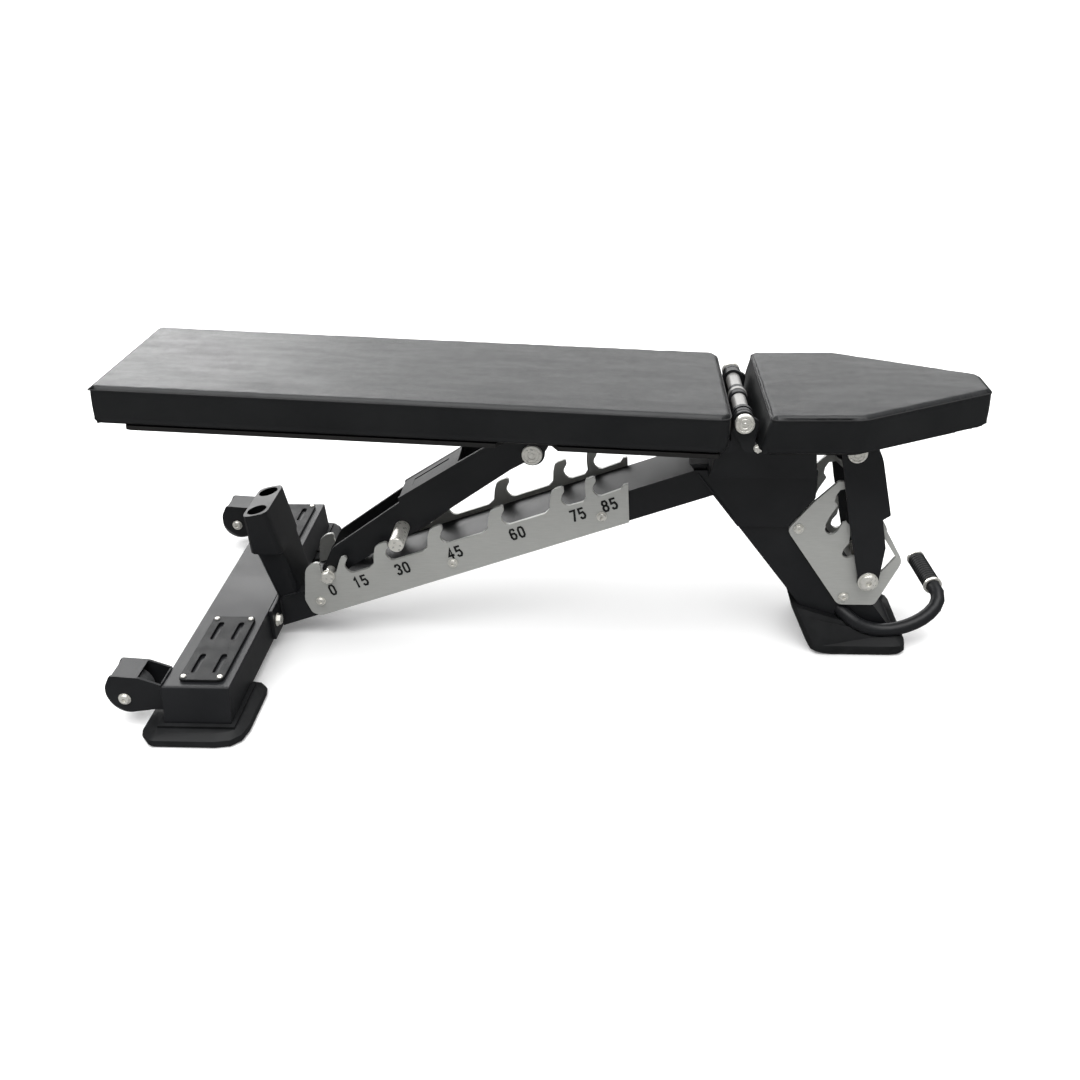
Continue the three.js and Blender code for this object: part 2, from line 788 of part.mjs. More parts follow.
// ---------------------------------------------------------------- backrest
function padRings(points) {
  // points(inset, z) is the plan outline at height z. The top edge is rounded and the bottom edge drawn in.
  const levels = [
    [1.5, -PAD_THICK],
    [0, -PAD_THICK + 3],
    [0, -6],
    [1.2, -2],
    [4, 0],
  ];
  return levels.map(([inset, z]) => ring(points(inset, z), z));
}
const backPlan = (d) => [
  [-BACK_LENGTH + d, -PAD_HALF_WIDTH + d, 3],
  [-d, -PAD_HALF_WIDTH + d, 14],
  [-d, PAD_HALF_WIDTH - d, 14],
  [-BACK_LENGTH + d, PAD_HALF_WIDTH - d, 3],
];
add("back_pad", moved(loft(padRings(backPlan)), backMatrix), "pad");

const BOARD = 7;
// The board is cut back beside the arm's pivot, where the caps of the pin need room.
const boardEdge = [
  [-906, 148, 10],
  [-345, 148],
  [-335, 130],
  [-262, 130],
  [-252, 148],
  [-12, 148, 10],
];
const boardPlan = [...boardEdge.map(([x, y, r]) => [x, -y, r]), ...[...boardEdge].reverse()];
const backBoard = slab(boardPlan, -PAD_THICK - GAP - BOARD, -PAD_THICK - GAP, 2);
add("back_board", moved(backBoard, backMatrix), "board");

const RAIL_TOP = -PAD_THICK - 2 * GAP - BOARD;
const RAIL_DEPTH = 19.4;
const KNUCKLE_BACK = [86.5, 94.5];
function backRail(side) {
  const ys = (a, b) => (side < 0 ? [-b, -a] : [a, b]);
  const rail = moved(box(-860, -30, ...ys(44, 76), RAIL_TOP - RAIL_DEPTH, RAIL_TOP), backMatrix);
  const stub = moved(box(-62, -30, ...ys(70, KNUCKLE_BACK[1]), RAIL_TOP - 13, RAIL_TOP), backMatrix);
  const knuckle = plate(
    [
      onBack(-62, RAIL_TOP),
      onBack(-12, RAIL_TOP),
      [281.5, 388.5],
      ...arc(HINGE, 15, 180, 0, 12),
      [313, 408],
      [293, 376],
      [281, 369],
      onBack(-62, RAIL_TOP - 13),
    ],
    ...ys(...KNUCKLE_BACK),
  );
  const ear = plate(
    [
      onBack(-262, RAIL_TOP),
      onBack(-340, RAIL_TOP),
      [ARM_PIVOT[0] - 20, ARM_PIVOT[1] + 4],
      ...arc(ARM_PIVOT, 20, 180, 360, 12),
      [ARM_PIVOT[0] + 20, ARM_PIVOT[1] + 4],
    ],
    ...ys(74, 84),
  );
  const bores = [bar(HINGE, 9 + GAP, side * 80, side * 120), bar(ARM_PIVOT, 8 + GAP, side * 60, side * 120)];
  return cut(union([rail, stub, knuckle, ear]), bores);
}
addPair("back_rail", backRail, "frame");

function crossTube(x) {
  return moved(box(x - 15, x + 15, -44 + GAP, 44 - GAP, RAIL_TOP - 18, RAIL_TOP), backMatrix);
}
add("back_cross_tube_upper", crossTube(-700), "frame");
add("back_cross_tube_lower", crossTube(-120), "frame");

add("arm_pin", bar(ARM_PIVOT, 8, -84, 84), "bright");
addPair("arm_pin_cap", (side) => turned(endCap(16, 84.3, 91), ARM_PIVOT, side), "bright");

// ---------------------------------------------------------------- support arm
const armGrip = onArm(153.5, -4).slice(0, 2);
function armPlate(side) {
  const end = arc(lockRod, 15, 303, 124, 8);
  const pivotEnd = arc(ARM_PIVOT, 24, 96, -56, 8);
  const profile = [
    ...end.reverse(),
    onArm(120, -15),
    onArm(150, -21.5),
    onArm(184, -24),
    onArm(247, -20.5),
    onArm(armLength - 60, -19),
    ...pivotEnd.reverse(),
    onArm(354, 35.7, 10),
    onArm(300, 38.5),
    onArm(181, 42.5),
    onArm(178, 35),
    onArm(28, 31, 8),
  ];
  const [inner, outer] = ARM_PLATE_Y;
  const bores = [
    bar(lockRod, ROD_R + GAP, side * 20, side * 50),
    bar(ARM_PIVOT, 8 + GAP, side * 20, side * 50),
    bar(armGrip, ARM_GRIP_R + GAP, side * 20, side * 50),
  ];
  return cut(plate(profile, side * inner, side * outer), bores);
}
addPair("arm_plate", armPlate, "frame");

function armWeb() {
  const inner = ARM_PLATE_Y[0] - GAP;
  const panelSide = [onArm(300, 33.8), onArm(300, 38.3), onArm(182, 41.9), onArm(182, 37.4)];
  const recessSide = [onArm(276, 37.8), onArm(276, 42.5), onArm(205, 46), onArm(205, 39.9)];
  const panel = plate(panelSide, -inner, inner);
  const recess = plate(recessSide, -13, 13);
  return cut(panel, [recess]);
}
add("arm_web", armWeb(), "frame");

function lockRodBody() {
  const [inner, outer] = [RACK_OUTER + 2.2, RACK_OUTER + 11];
  const heads = [-1, 1].map((side) => bar(lockRod, 12, side * inner, side * outer, 6));
  return union([bar(lockRod, ROD_R, -RACK_OUTER - 4, RACK_OUTER + 4), ...heads]);
}
add("lock_rod", lockRodBody(), "bright");
add("arm_grip", bar(armGrip, ARM_GRIP_R, -100, 100), "bright");

// ---------------------------------------------------------------- seat
const seatPlan = (d, z) => {
  const start = SEAT_START + (SEAT_LEAN * z) / PAD_THICK;
  const slope = (PAD_HALF_WIDTH - SEAT_TIP_HALF) / (SEAT_TIP - SEAT_TAPER);
  const side = d * Math.hypot(1, slope);
  const taperX = SEAT_TAPER + (side - d) / slope;
  const tipHalf = SEAT_TIP_HALF + d * slope - side;
  return [
    [start + d, -PAD_HALF_WIDTH + d, 12],
    [taperX, -PAD_HALF_WIDTH + d, 10],
    [SEAT_TIP - d, -tipHalf, 8],
    [SEAT_TIP - d, tipHalf, 8],
    [taperX, PAD_HALF_WIDTH - d, 10],
    [start + d, PAD_HALF_WIDTH - d, 12],
  ];
};
const seatMatrix = new THREE.Matrix4().makeTranslation(0, 0, PAD_TOP);
add("seat_pad", moved(loft(padRings(seatPlan)), seatMatrix), "pad");

const boardTop = PAD_TOP - PAD_THICK - GAP;
const seatBoard = slab(
  [
    [346, -130, 8],
    [461, -130, 8],
    [634, -40, 8],
    [634, 40, 8],
    [461, 130, 8],
    [346, 130, 8],
  ],
  boardTop - BOARD,
  boardTop,
  2,
);
add("seat_board", seatBoard, "board");

const SEAT_RAIL_TOP = boardTop - BOARD - GAP;
const KNUCKLE_SEAT = [96.5, 104.2];
function seatRail(side) {
  const ys = (a, b) => (side < 0 ? [-b, -a] : [a, b]);
  const rail = box(352, 512, ...ys(40, 59), 364, SEAT_RAIL_TOP);
  const stub = box(352, 421, ...ys(50, KNUCKLE_SEAT[1]), 370, SEAT_RAIL_TOP);
  const knuckle = plate(
    [
      [421, SEAT_RAIL_TOP],
      [340, SEAT_RAIL_TOP],
      [334, 386.5],
      [316, 386.5],
      [321, 424, 4],
      ...arc(HINGE, 15, 15, 180, 12),
      [283, 409],
      [302, 374],
      [421, 370],
    ],
    ...ys(...KNUCKLE_SEAT),
  );
  const ear = plate(
    [
      [506, SEAT_RAIL_TOP],
      [450, SEAT_RAIL_TOP],
      [LINK_PIVOT[0] - 16, LINK_PIVOT[1] + 3],
      ...arc(LINK_PIVOT, 16, 180, 360, 12),
      [LINK_PIVOT[0] + 16, LINK_PIVOT[1] + 3],
    ],
    ...ys(51, 59),
  );
  const bores = [bar(HINGE, 9 + GAP, side * 80, side * 120), bar(LINK_PIVOT, 8 + GAP, side * 30, side * 90)];
  return cut(union([rail, stub, knuckle, ear]), bores);
}
addPair("seat_rail", seatRail, "frame");

const LINK_OUTER = 68;
function linkPin() {
  const heads = [-1, 1].map((side) => turned(endCap(15, 69, 77), LINK_PIVOT, side));
  return union([bar(LINK_PIVOT, 8, -71, 71), ...heads]);
}
add("link_pin", linkPin(), "bright");

// ---------------------------------------------------------------- seat link
function linkChannel() {
  const side = [
    [455, 356, 12],
    [474, 257],
    [501.5, 138],
    ...arc(LINK_BOLT, 17, 195, 345, 8),
    [537, 150],
    [540, 192],
    [530, 242, 2],
    [541.5, 250, 2],
    [519, 346, 8],
    [508, 370, 8],
    [465, 374, 10],
  ];
  const plates = [-1, 1].map((s) => plate(side, s * 62, s * LINK_OUTER));
  const web = plate([[541, 251.5], [519, 344], [514, 343], [536, 250.5]].reverse(), -64, 64);
  const bores = [bar(LINK_PIVOT, 8 + GAP, -90, 90), bar(LINK_BOLT, ROD_R + GAP, -90, 90)];
  return cut(union([...plates, web]), bores);
}
add("seat_link", linkChannel(), "frame");

function linkBolt() {
  const cap = endCap(16.5, LINK_OUTER + GAP, LINK_OUTER + 8);
  const heads = [-1, 1].map((side) => turned(cap, LINK_BOLT, side));
  return union([bar(LINK_BOLT, ROD_R, -LINK_OUTER - 2, LINK_OUTER + 2), ...heads]);
}
add("link_bolt", linkBolt(), "bright");

export default group;
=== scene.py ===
"""Looks of the adjustable weight bench: materials, cushions, fasteners, digits, floor, light and camera.

Metres, in the frame of the CAD: +X to the seat end, -Y towards the viewer, +Z up, floor at z = 0.
"""
import json
import math

import bmesh
import bpy
import numpy as np
from mathutils import Matrix, Vector, noise


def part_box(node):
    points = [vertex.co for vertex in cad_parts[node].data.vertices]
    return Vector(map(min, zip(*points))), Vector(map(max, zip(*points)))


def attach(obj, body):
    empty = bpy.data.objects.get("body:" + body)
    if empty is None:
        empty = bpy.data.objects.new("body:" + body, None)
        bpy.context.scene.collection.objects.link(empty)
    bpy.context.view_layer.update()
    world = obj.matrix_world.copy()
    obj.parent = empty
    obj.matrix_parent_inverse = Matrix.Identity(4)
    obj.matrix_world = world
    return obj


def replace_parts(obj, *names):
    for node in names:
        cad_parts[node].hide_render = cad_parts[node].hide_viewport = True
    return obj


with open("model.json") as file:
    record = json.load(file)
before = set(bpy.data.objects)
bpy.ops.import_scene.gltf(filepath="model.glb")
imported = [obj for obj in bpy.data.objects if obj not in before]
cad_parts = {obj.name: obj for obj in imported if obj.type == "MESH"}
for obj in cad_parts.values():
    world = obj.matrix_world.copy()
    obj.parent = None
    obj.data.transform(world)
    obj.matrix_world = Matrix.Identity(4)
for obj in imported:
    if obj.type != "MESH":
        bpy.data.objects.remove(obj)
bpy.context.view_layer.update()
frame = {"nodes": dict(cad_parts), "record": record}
NODES = frame["nodes"]
SCENE = bpy.context.scene

# Pivots and axles, each as (x, z).
HINGE = (0.298, 0.425)
ARM_PIVOT = (-0.021, 0.362)
LINK_PIVOT = (0.4775, 0.3585)
LINK_BOLT = (0.5185, 0.130)
WHEEL_AXLE = (-0.6385, 0.055)
WHEEL_Y = 0.290

# The rack is the spine with its ladders: its own axes start at the first notch and run up the slope.
RACK_ORIGIN = (-0.374, 0.133)
RACK_ANGLE = math.radians(19.2)

# The tops of the two pads, as the frames in which they are shaped.
BACK_END = 0.2775
PAD_TOP = 0.4478
BACK_TILT = 0.0521
BACK_FRAME = Matrix.Translation((BACK_END, 0, PAD_TOP)) @ Matrix.Rotation(BACK_TILT, 4, "Y")
SEAT_FRAME = Matrix.Translation((0, 0, PAD_TOP))

SIDES = (("near", -1), ("far", 1))
ALONG_X, ALONG_Y, ALONG_Z = (1, 0, 0), (0, 1, 0), (0, 0, 1)


# ---------------------------------------------------------------- materials
class Nodes:
    """A small builder for one material's node tree."""

    def __init__(self, name):
        self.material = bpy.data.materials.new(name)
        self.material.use_nodes = True
        self.tree = self.material.node_tree
        self.tree.nodes.clear()
        self.shader = self.tree.nodes.new("ShaderNodeBsdfPrincipled")
        out = self.tree.nodes.new("ShaderNodeOutputMaterial")
        self.link(self.shader.outputs["BSDF"], out.inputs["Surface"])
        self.coords = self.tree.nodes.new("ShaderNodeTexCoord").outputs["Object"]

    def link(self, source, target):
        self.tree.links.new(source, target)

    def set(self, **values):
        for key, value in values.items():
            self.shader.inputs[key.replace("_", " ")].default_value = value

    def stretched(self, scale, turn=(0, 0, 0)):
        node = self.tree.nodes.new("ShaderNodeMapping")
        node.inputs["Scale"].default_value = scale
        node.inputs["Rotation"].default_value = turn
        self.link(self.coords, node.inputs["Vector"])
        return node.outputs["Vector"]

    def noise(self, scale, detail=3, rough=0.5, vector=None):
        node = self.tree.nodes.new("ShaderNodeTexNoise")
        node.inputs["Scale"].default_value = scale
        node.inputs["Detail"].default_value = detail
        node.inputs["Roughness"].default_value = rough
        self.link(vector or self.coords, node.inputs["Vector"])
        return node.outputs["Fac"]

    def cells(self, scale, feature="DISTANCE_TO_EDGE"):
        node = self.tree.nodes.new("ShaderNodeTexVoronoi")
        node.feature = feature
        node.inputs["Scale"].default_value = scale
        self.link(self.coords, node.inputs["Vector"])
        return node.outputs["Distance"]

    def ramp(self, source, *stops):
        """Colours along a value; each stop is (place, colour)."""
        node = self.tree.nodes.new("ShaderNodeValToRGB")
        for element, (place, colour) in zip(node.color_ramp.elements, stops):
            element.position = place
            element.color = (*colour, 1)
        self.link(source, node.inputs["Fac"])
        return node.outputs["Color"]

    def span(self, source, low, high, start, end):
        """The value, taken from the range start to end to the range low to high."""
        node = self.tree.nodes.new("ShaderNodeMapRange")
        node.inputs["From Min"].default_value = start
        node.inputs["From Max"].default_value = end
        node.inputs["To Min"].default_value = low
        node.inputs["To Max"].default_value = high
        self.link(source, node.inputs["Value"])
        return node.outputs["Result"]

    def maths(self, kind, a, b):
        node = self.tree.nodes.new("ShaderNodeMath")
        node.operation = kind
        for socket, value in zip(node.inputs, (a, b)):
            if isinstance(value, (int, float)):
                socket.default_value = value
            else:
                self.link(value, socket)
        return node.outputs[0]

    def blend(self, a, b, share):
        """A mix of two values, with this share of the first."""
        return self.maths("ADD", self.maths("MULTIPLY", a, share), self.maths("MULTIPLY", b, 1 - share))

    def bump(self, height, distance, strength, after=None):
        node = self.tree.nodes.new("ShaderNodeBump")
        node.inputs["Distance"].default_value = distance
        node.inputs["Strength"].default_value = strength
        self.link(height, node.inputs["Height"])
        if after is not None:
            self.link(after, node.inputs["Normal"])
        return node.outputs["Normal"]

    def finish(self, colour, roughness=None, normal=None):
        for key, source in (("Base Color", colour), ("Roughness", roughness), ("Normal", normal)):
            if source is not None:
                self.link(source, self.shader.inputs[key])
        return self.material


def powder_coat():
    m = Nodes("black_powder_coat")
    m.set(Specular_IOR_Level=0.31)
    grain = m.noise(1500, 2, 0.6)
    cloud = m.noise(9, 4, 0.55)
    colour = m.ramp(cloud, (0.3, (0.0092, 0.0098, 0.0112)), (0.75, (0.0134, 0.0141, 0.0158)))
    rough = m.span(m.blend(cloud, grain, 0.6), 0.34, 0.52, 0.3, 0.7)
    return m.finish(colour, rough, m.bump(grain, 0.00012, 0.55))


def silver_coat():
    tone = (0.46, 0.465, 0.445)
    m = Nodes("silver_coat")
    m.set(Metallic=0.35, Specular_IOR_Level=0.5)
    grain = m.noise(2200, 2, 0.6)
    brushed = m.noise(60, 3, 0.6, m.stretched((1, 1, 14), (0, RACK_ANGLE, 0)))
    low = tuple(c * 0.9 for c in tone)
    colour = m.ramp(brushed, (0.3, low), (0.7, tone))
    rough = m.span(m.blend(brushed, grain, 0.5), 0.36, 0.5, 0.3, 0.7)
    return m.finish(colour, rough, m.bump(grain, 0.00008, 0.5))


def zinc():
    m = Nodes("bright_zinc")
    m.set(Metallic=0.6)
    spangle = m.cells(140, "F1")
    fine = m.noise(900, 3, 0.6)
    colour = m.ramp(spangle, (0.0, (0.7, 0.69, 0.64)), (0.8, (0.86, 0.845, 0.79)))
    rough = m.span(m.blend(spangle, fine, 0.4), 0.22, 0.4, 0.2, 0.8)
    return m.finish(colour, rough, m.bump(fine, 0.00006, 0.5))


def rubber():
    m = Nodes("moulded_rubber")
    m.set(Specular_IOR_Level=0.22)
    grain = m.noise(700, 3, 0.65)
    scuff = m.noise(26, 5, 0.62)
    colour = m.ramp(scuff, (0.35, (0.0065, 0.007, 0.0075)), (0.75, (0.013, 0.0135, 0.0145)))
    rough = m.span(scuff, 0.46, 0.62, 0.3, 0.7)
    return m.finish(colour, rough, m.bump(grain, 0.00018, 0.6))


def roller_plastic():
    m = Nodes("roller_plastic")
    m.set(Specular_IOR_Level=0.4)
    scuff = m.noise(120, 4, 0.6)
    colour = m.ramp(scuff, (0.35, (0.06, 0.062, 0.064)), (0.7, (0.105, 0.108, 0.11)))
    return m.finish(colour, m.span(scuff, 0.38, 0.58, 0.3, 0.7), m.bump(scuff, 0.0001, 0.5))


def leather():
    m = Nodes("pad_leather")
    m.set(Specular_IOR_Level=0.42)
    warp = m.noise(60, 3, 0.6)
    pebbles = m.cells(620)
    fine = m.noise(1800, 2, 0.55)
    grain = m.maths("ADD", m.span(pebbles, 0.0, 1.0, 0.0, 0.14), m.maths("MULTIPLY", fine, 0.35))
    streak = m.noise(5, 4, 0.62, m.stretched((1.5, 6, 1)))
    colour = m.ramp(streak, (0.3, (0.0052, 0.0060, 0.0068)), (0.72, (0.0088, 0.0096, 0.0104)))
    rough = m.span(m.blend(streak, warp, 0.7), 0.36, 0.5, 0.32, 0.68)
    normal = m.bump(streak, 0.00045, 0.35, after=m.bump(grain, 0.00012, 0.55))
    return m.finish(colour, rough, normal)


def plain(name, colour, roughness, metallic=0.0, scale=80, bump=0.0001):
    m = Nodes(name)
    m.set(Metallic=metallic, Specular_IOR_Level=0.35)
    mottle = m.noise(scale, 3, 0.6)
    low = tuple(c * 0.78 for c in colour)
    tone = m.ramp(mottle, (0.3, low), (0.7, colour))
    rough = m.span(mottle, roughness - 0.06, roughness + 0.06, 0.3, 0.7)
    return m.finish(tone, rough, m.bump(mottle, bump, 0.5))


# By material slot, as the record names them.
MATERIALS = {
    "frame_paint": powder_coat(),
    "rack_paint": silver_coat(),
    "grip_paint": plain("grip_coat", (0.5, 0.5, 0.485), 0.42, 0.3),
    "zinc": zinc(),
    "boot_rubber": rubber(),
    "roller_plastic": roller_plastic(),
    "pad_leather": leather(),
    "pad_board": plain("black_plywood", (0.012, 0.0115, 0.011), 0.6, 0, 240, 0.0003),
}
THREAD = plain("seam_thread", (0.02, 0.02, 0.021), 0.6, 0, 500)
INK = plain("digit_ink", (0.006, 0.006, 0.007), 0.5)
SLEEVE = plain("scuffed_steel", (0.36, 0.355, 0.345), 0.42, 0.5, 240, 0.0004)


# ---------------------------------------------------------------- piece helpers
def link(obj, body, slot, material=None):
    """Puts obj in the scene, on its body and in its slot; material stands in for the slot's own."""
    SCENE.collection.objects.link(obj)
    obj.data.materials.clear()
    obj.data.materials.append(material or MATERIALS[slot])
    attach(obj, body)
    return obj


def from_bmesh(name, bm, body, slot, material=None, angle=40):
    """Makes a piece of bm, smooth except where faces meet at more than angle degrees."""
    mesh = bpy.data.meshes.new(name)
    bmesh.ops.recalc_face_normals(bm, faces=bm.faces)
    bm.to_mesh(mesh)
    bm.free()
    mesh.shade_smooth()
    mesh.set_sharp_from_angle(angle=math.radians(angle))
    return link(bpy.data.objects.new(name, mesh), body, slot, material)


def at(place, y=0.0):
    return (place[0], y, place[1])


def mirrored(place, sign):
    return (place[0], sign * place[1], place[2])


def centre(node):
    low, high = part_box(node)
    return (Vector(low) + Vector(high)) / 2


def rack_point(along, across, y):
    """A place along and across the rack's slope."""
    cosine, sine = math.cos(RACK_ANGLE), math.sin(RACK_ANGLE)
    x = RACK_ORIGIN[0] + along * cosine - across * sine
    return Vector((x, y, RACK_ORIGIN[1] + along * sine + across * cosine))


def turned_to(axis):
    return Vector((0, 0, 1)).rotation_difference(Vector(axis)).to_matrix()


def lathe(bm, profile, origin, axis, segments=56):
    """Adds a turned body to bm: profile is (radius, distance) pairs; a third value makes a ring hexagonal."""
    turn = turned_to(axis)
    rings = []
    for radius, along, *hexed in profile:
        if radius < 1e-7:
            rings.append([bm.verts.new(Vector(origin) + turn @ Vector((0, 0, along)))])
            continue
        ring = []
        for i in range(segments):
            a = 2 * math.pi * i / segments
            r = radius
            if hexed:
                r *= math.cos(math.pi / 6) / math.cos(a % (math.pi / 3) - math.pi / 6)
            spoke = Vector((r * math.cos(a), r * math.sin(a), along))
            ring.append(bm.verts.new(Vector(origin) + turn @ spoke))
        rings.append(ring)
    for one, two in zip(rings, rings[1:]):
        for i in range(segments):
            j = (i + 1) % segments
            if len(one) == 1 and len(two) > 1:
                bm.faces.new((one[0], two[i], two[j]))
            elif len(two) == 1 and len(one) > 1:
                bm.faces.new((one[i], one[j], two[0]))
            elif len(one) > 1:
                bm.faces.new((one[i], one[j], two[j], two[i]))


def rounded(radius, a, b, lip=0.0008):
    """Profile of a short cylinder from a to b with both rims rounded over."""
    quarter = [math.pi / 2 * i / 3 for i in range(4)]
    start = [(radius - lip + lip * math.sin(t), a + lip - lip * math.cos(t)) for t in quarter]
    end = [(radius - lip + lip * math.cos(t), b - lip + lip * math.sin(t)) for t in quarter]
    return [(0, a), *start, *end, (0, b)]


def join_rings(bm, rings, closed=False):
    """Adds the faces between rings of equal count, closed into a loop or capped at both ends."""
    for one, two in zip(rings, rings[1:] + rings[:1] if closed else rings[1:]):
        for i in range(len(one)):
            j = (i + 1) % len(one)
            bm.faces.new((one[i], one[j], two[j], two[i]))
    if not closed:
        bm.faces.new(rings[0][::-1])
        bm.faces.new(rings[-1])


def hexagon(bm, origin, axis, across, a, b, chamfer=0.0012, turn=0.0):
    """Adds a hex head between a and b along the axis; across is the width over the flats."""
    rotate = turned_to(axis)
    corner = across / math.sqrt(3)
    rings = []
    for radius, along in ((corner, a), (corner, b - chamfer), (corner - chamfer * 1.2, b)):
        ring = []
        for i in range(6):
            t = turn + math.pi / 3 * i
            spoke = Vector((radius * math.cos(t), radius * math.sin(t), along))
            ring.append(bm.verts.new(Vector(origin) + rotate @ spoke))
        rings.append(ring)
    join_rings(bm, rings)


def tube(bm, points, radius, sides=8, closed=True):
    """Adds a round tube along points; radius is one value, or one for each point."""
    count = len(points)
    rings = []
    for i, point in enumerate(points):
        before = points[i - 1] if closed or i else point
        after = points[(i + 1) % count] if closed or i + 1 < count else point
        along = (Vector(after) - Vector(before)).normalized()
        up = Vector((0, 0, 1)) if abs(along.z) < 0.9 else Vector((1, 0, 0))
        right = along.cross(up).normalized()
        up = right.cross(along)
        r = radius[i] if isinstance(radius, list) else radius
        ring = []
        for k in range(sides):
            t = 2 * math.pi * k / sides
            ring.append(bm.verts.new(Vector(point) + (right * math.cos(t) + up * math.sin(t)) * r))
        rings.append(ring)
    join_rings(bm, rings, closed)


# ---------------------------------------------------------------- carried-over CAD nodes
WELD_DISTANCE = 0.00002
BEVEL_WIDTH = 0.0008
BEVEL_SEGMENTS = 2
BEVEL_ANGLE = math.radians(32)
NORMAL_WEIGHT = 80


def dress(name, slot):
    """Gives a CAD node its material and soft edges."""
    obj = NODES[name]
    mesh = obj.data
    mesh.materials.clear()
    mesh.materials.append(MATERIALS[slot])
    if "custom_normal" in mesh.attributes:
        mesh.attributes.remove(mesh.attributes["custom_normal"])
    mesh.shade_smooth()
    weld = obj.modifiers.new("weld", "WELD")
    weld.merge_threshold = WELD_DISTANCE
    soft = obj.modifiers.new("bevel", "BEVEL")
    soft.width = BEVEL_WIDTH
    soft.segments = BEVEL_SEGMENTS
    soft.limit_method = "ANGLE"
    soft.angle_limit = BEVEL_ANGLE
    soft.use_clamp_overlap = True
    normals = obj.modifiers.new("normals", "WEIGHTED_NORMAL")
    normals.weight = NORMAL_WEIGHT


SLOT_OF = {s["node"]: s["material_slot"] for s in frame["record"]["subparts"]}
for node in NODES:
    dress(node, SLOT_OF[node])


# ---------------------------------------------------------------- cushions
PAD_HALF = 0.150
PAD_DEPTH = 0.060
BACK_LENGTH = 0.9525
SEAT_START, SEAT_TAPER, SEAT_TIP, SEAT_TIP_HALF = 0.332, 0.4655, 0.6767, 0.0387
SEAT_LEAN = 0.014
BACK_PLAN = [(-BACK_LENGTH, -PAD_HALF), (0, -PAD_HALF), (0, PAD_HALF), (-BACK_LENGTH, PAD_HALF)]
SEAT_PLAN = [
    (SEAT_START, -PAD_HALF),
    (SEAT_TAPER, -PAD_HALF),
    (SEAT_TIP, -SEAT_TIP_HALF),
    (SEAT_TIP, SEAT_TIP_HALF),
    (SEAT_TAPER, PAD_HALF),
    (SEAT_START, PAD_HALF),
]
BACK_RADII = [0.003, 0.020, 0.020, 0.003]
SEAT_RADII = [0.012, 0.012, 0.008, 0.008, 0.012, 0.012]

# The stuffed block before it is shaped, and how the cloth simulation swells it.
BLOCK_INSET = 0.0035
BLOCK_FLOOR = 0.002
VOXEL = 0.006
CLOTH_FRAMES = 20
SWELL_LIMIT = 0.0045
RIM_WIDTH = 0.02

# The upholstered corner: its reach, and how square it is. 2 is a quarter circle, and more is crisper.
EDGE = 0.0075
TOP_SQUARENESS = 5.5
BOTTOM_SQUARENESS = TOP_SQUARENESS * 1.6
LEAN_REACH = 0.08
SIDE_GAP = 0.0002
BOARD_GAP = 0.0003


def offset_plan(plan, distance):
    """The convex outline moved inward by distance, corner by corner."""
    count = len(plan)
    moved = []
    for i in range(count):
        here = Vector(plan[i])
        ahead = (Vector(plan[(i + 1) % count]) - here).normalized()
        back = (here - Vector(plan[i - 1])).normalized()
        n1, n2 = Vector((-back.y, back.x)), Vector((-ahead.y, ahead.x))
        mid = (n1 + n2).normalized()
        moved.append(here + mid * distance / max(0.3, mid.dot(n1)))
    return moved


def rounded_plan(plan, radii, steps=5):
    """The outline with its corners rounded, as a closed list of points."""
    points = []
    count = len(plan)
    for i in range(count):
        here, r = Vector(plan[i]), radii[i]
        one = here + (Vector(plan[i - 1]) - here).normalized() * r
        two = here + (Vector(plan[(i + 1) % count]) - here).normalized() * r
        for k in range(steps + 1):
            t = k / steps
            points.append(one * (1 - t) ** 2 + here * 2 * t * (1 - t) + two * t**2)
    return points


def inside(points, plan):
    """For each point, how far it lies inside the outline, and the outward direction of the nearest side."""
    best = np.full(len(points), 1e9)
    normal = np.zeros((len(points), 2))
    for i in range(len(plan)):
        a, b = np.array(plan[i]), np.array(plan[(i + 1) % len(plan)])
        along = (b - a) / np.linalg.norm(b - a)
        outward = np.array((along[1], -along[0]))
        depth = -(points[:, :2] - a) @ outward
        closer = depth < best
        best[closer] = depth[closer]
        normal[closer] = outward
    return best, normal


def coordinates(mesh):
    values = np.empty(len(mesh.vertices) * 3)
    mesh.vertices.foreach_get("co", values)
    return values.reshape(-1, 3)


def evaluated(obj):
    return obj.evaluated_get(bpy.context.evaluated_depsgraph_get())


def apply_modifier(obj, kind, **settings):
    """Gives obj the mesh that one modifier makes of it."""
    modifier = obj.modifiers.new(kind.lower(), kind)
    for key, value in settings.items():
        setattr(modifier, key, value)
    mesh = bpy.data.meshes.new_from_object(evaluated(obj))
    obj.modifiers.remove(modifier)
    obj.data = mesh


def block(name, plan, radii):
    """The cushion before it is stuffed: a slab cut into cells of even size."""
    outline = rounded_plan(offset_plan(plan, BLOCK_INSET), radii)
    count = len(outline)
    verts = [(*p, z) for z in (-PAD_DEPTH + BLOCK_FLOOR, -BLOCK_INSET) for p in outline]
    sides = [(i, (i + 1) % count, (i + 1) % count + count, i + count) for i in range(count)]
    mesh = bpy.data.meshes.new(name)
    mesh.from_pydata(verts, [], [list(range(count))[::-1], list(range(count, 2 * count)), *sides])
    obj = bpy.data.objects.new(name, mesh)
    SCENE.collection.objects.link(obj)
    apply_modifier(obj, "REMESH", mode="VOXEL", voxel_size=VOXEL)
    return obj


